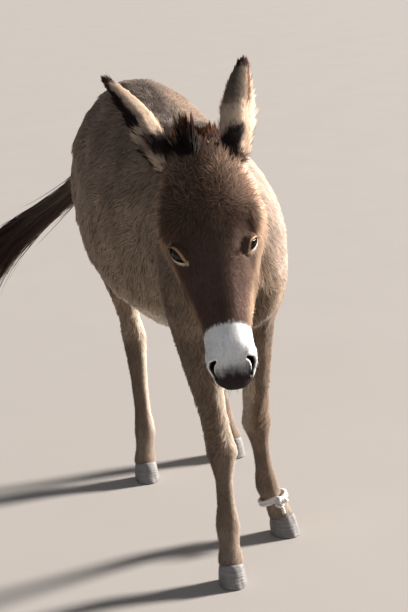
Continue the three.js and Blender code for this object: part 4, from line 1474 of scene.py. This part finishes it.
def hoofMaterial():
    material, wire = newMaterial("dry horn")
    place = objectPlace(wire)
    along = wire.node("ShaderNodeVectorMath", {"operation": "MULTIPLY"}, {0: place, 1: (420, 420, 30)})
    round = wire.node("ShaderNodeVectorMath", {"operation": "MULTIPLY"}, {0: place, 1: (14, 14, 260)})
    fibres = noiseAt(wire, along, 1, 3)
    bands = noiseAt(wire, round, 1, 2)
    stain = noiseAt(wire, place, 34, 3)
    tone = mixed(wire, bands * 0.7 + fibres * 0.3, (paint(74, 72, 74), paint(150, 147, 145)))
    bump = wire.node("ShaderNodeBump", {}, {"Strength": 0.5, "Distance": 0.0006, "Height": fibres + bands})
    finishMaterial(wire, {
        "Base Color": tinted(wire, tone, 0.6 + stain * 0.8),
        "Roughness": 0.5 + stain * 0.25,
        "Normal": bump,
        "Specular IOR Level": 0.4,
    })
    return material


horn = hoofMaterial()
for hoofName, (hoofPlace, hoofTurn) in hoofPlaces.items():
    makeHoof(hoofName, hoofPlace, hoofTurn)
print("hooves made")


# The tether itself

def evened(path, step):
    # the same path with its points a step apart
    far = np.concatenate([[0], np.cumsum(np.linalg.norm(np.diff(path, axis=0), axis=1))])
    marks = np.linspace(0, far[-1], max(4, int(far[-1] / step)))
    return np.stack([np.interp(marks, far, path[:, k]) for k in range(3)], -1), marks


def laidStrands(path):
    # the three strands of a rope along a path, as tubes
    path, far = evened(path, tetherSet["step"])
    along = unit(np.gradient(path, axis=0))
    aside = [unit(np.cross(along[0], (0.31, 0.52, 0.79)))]
    for way in along[1:]:
        aside.append(unit(aside[-1] - way * (aside[-1] @ way)))
    aside = np.array(aside)
    over = np.cross(along, aside)
    ring = np.arange(tetherSet["sides"]) / tetherSet["sides"] * 2 * math.pi
    points, faces, start = [], [], 0
    for strand in range(3):
        turn = 2 * math.pi * (far / tetherSet["lay"] + strand / 3)
        middle = path + tetherSet["offset"] * (aside * np.cos(turn)[:, None] + over * np.sin(turn)[:, None])
        tube = middle[:, None] + tetherSet["strand"] * (
            aside[:, None] * np.cos(ring)[None, :, None] + over[:, None] * np.sin(ring)[None, :, None])
        rings, around = len(path), len(ring)
        a = np.arange(rings - 1)[:, None] * around + np.arange(around)
        b = np.arange(rings - 1)[:, None] * around + np.roll(np.arange(around), -1)
        sheet = np.concatenate([np.stack([a, b, b + around], -1), np.stack([a, b + around, a + around], -1)])
        hubs = rings * around + np.arange(2)
        edge = np.arange(around)
        caps = [np.stack([np.roll(edge, -1), edge, np.full(around, hubs[0])], -1)]
        far_ = edge + (rings - 1) * around
        caps.append(np.stack([far_, np.roll(far_, -1), np.full(around, hubs[1])], -1))
        points += [tube.reshape(-1, 3), middle[[0, -1]]]
        faces.append(np.concatenate([sheet.reshape(-1, 3), *caps]) + start)
        start += rings * around + 2
    return np.concatenate(points), np.concatenate(faces)


def makeTether():
    middle, axis, ahead, aside, out = tetherWays()
    turn = np.linspace(0, 4 * math.pi, 240)[:, None]
    reach = tetherSet["reach"] + 3 * np.exp(-(np.minimum(turn, 4 * math.pi - turn) / 0.25) ** 2)
    turns = middle + reach * (ahead * np.cos(turn) + aside * np.sin(turn))
    turns = turns + axis * tetherSet["pitch"] * (turn / (2 * math.pi) - 1)
    t = np.linspace(0, 2 * math.pi, 160)[:, None]
    width, depth, height = tetherSet["knotSize"]
    knot = middle + out * tetherSet["knotReach"]
    loops = (knot + aside * width * (np.sin(t) + 2 * np.sin(2 * t))
             + axis * depth * (np.cos(t) - 2 * np.cos(2 * t)) - out * height * np.sin(3 * t))
    t = np.linspace(0, 1, 20)[:, None]
    end = knot + out * 2 + aside * 4 + np.array((7, -6, 0)) * t + np.array((0, 0, -tetherSet["end"])) * t**1.2
    points, faces, start = [], [], 0
    for path in (turns, loops, end):
        found, made = laidStrands(path)
        points.append(found)
        faces.append(made + start)
        start += len(found)
    mesh = meshFrom("tether", fromPart(np.concatenate(points)), np.concatenate(faces))
    addPiece("tether", mesh, ropeMaterial(), "rope", ["tether_turns", "tether_knot"])


def ropeMaterial():
    material, wire = newMaterial("white rope")
    place = objectPlace(wire)
    fuzz = noiseAt(wire, place, 1500, 3)
    dirt = noiseAt(wire, place, 60, 3)
    bump = wire.node("ShaderNodeBump", {}, {"Strength": 0.6, "Distance": 0.0005, "Height": fuzz})
    finishMaterial(wire, {
        "Base Color": mixed(wire, dirt * 0.7 + fuzz * 0.5, (paint(186, 178, 168), paint(244, 242, 238))),
        "Roughness": 0.85,
        "Normal": bump,
        "Sheen Weight": 0.2,
    })
    return material


makeTether()
print("tether made")


# Floor, light and camera

stageSet = {
    "floor": 60,
    "floorTones": (paint(158, 153, 149), paint(163, 158, 154)),
    "world": paint(196, 201, 210),
    "worldStrength": 0.34,
}
lamps = [
    {"name": "key", "from": (0.93, 0.12, 0.37), "angle": 9, "power": 6.4, "tone": (1.0, 0.94, 0.87)},
    {"name": "key through hair", "from": (0.93, 0.12, 0.37), "angle": 9, "power": 6.4,
     "tone": (1.0, 0.94, 0.87), "through": "coat"},
    {"name": "fill", "from": (-0.5, -0.75, 0.6), "angle": 60, "power": 0.25, "tone": (0.93, 0.96, 1.0)},
]
cameraSet = {"at": (-0.5581, -3.2333, 1.5137), "yaw": 12.58, "pitch": 15.98, "roll": -3.26, "lens": 88.25}


def makeStage():
    reach = stageSet["floor"]
    corners = np.array([(-reach, -reach, 0), (reach, -reach, 0), (reach, reach, 0), (-reach, reach, 0)], float)
    mesh = meshFrom("floor", corners, np.array([[0, 1, 2, 3]]), smooth=False)
    addPiece("floor", mesh, floorMaterial())
    world = bpy.data.worlds.new("studio")
    world.use_nodes = True
    background = world.node_tree.nodes["Background"]
    background.inputs["Color"].default_value = (*stageSet["world"], 1)
    background.inputs["Strength"].default_value = stageSet["worldStrength"]
    bpy.context.scene.world = world
    for lamp in lamps:
        data = bpy.data.lights.new(lamp["name"], "SUN")
        data.angle = math.radians(lamp["angle"])
        data.energy = lamp["power"]
        data.color = lamp["tone"]
        light = bpy.data.objects.new(lamp["name"], data)
        bpy.context.scene.collection.objects.link(light)
        light.rotation_euler = Vector(lamp["from"]).to_track_quat("Z", "Y").to_euler()
        if "through" in lamp:
            solid = bpy.data.collections.new("solid")
            for obj in bpy.context.scene.objects:
                if obj.type == "MESH" and not obj.name.startswith(lamp["through"]):
                    solid.objects.link(obj)
            light.light_linking.blocker_collection = solid


def makeCamera():
    yaw, pitch, roll = (math.radians(cameraSet[name]) for name in ("yaw", "pitch", "roll"))
    right = Vector((math.cos(yaw), -math.sin(yaw), 0))
    ahead = Vector((math.sin(yaw) * math.cos(pitch), math.cos(yaw) * math.cos(pitch), -math.sin(pitch)))
    over = right.cross(ahead)
    xAxis = math.cos(roll) * right + math.sin(roll) * over
    yAxis = math.cos(roll) * over - math.sin(roll) * right
    data = bpy.data.cameras.new("camera")
    data.lens = cameraSet["lens"]
    data.sensor_width = 36
    data.clip_end = 200
    camera = bpy.data.objects.new("camera", data)
    camera.matrix_world = Matrix.Translation(cameraSet["at"]) @ Matrix((xAxis, yAxis, -ahead)).transposed().to_4x4()
    bpy.context.scene.collection.objects.link(camera)
    bpy.context.scene.camera = camera


makeStage()
makeCamera()
bpy.context.scene.view_settings.view_transform = "Standard"
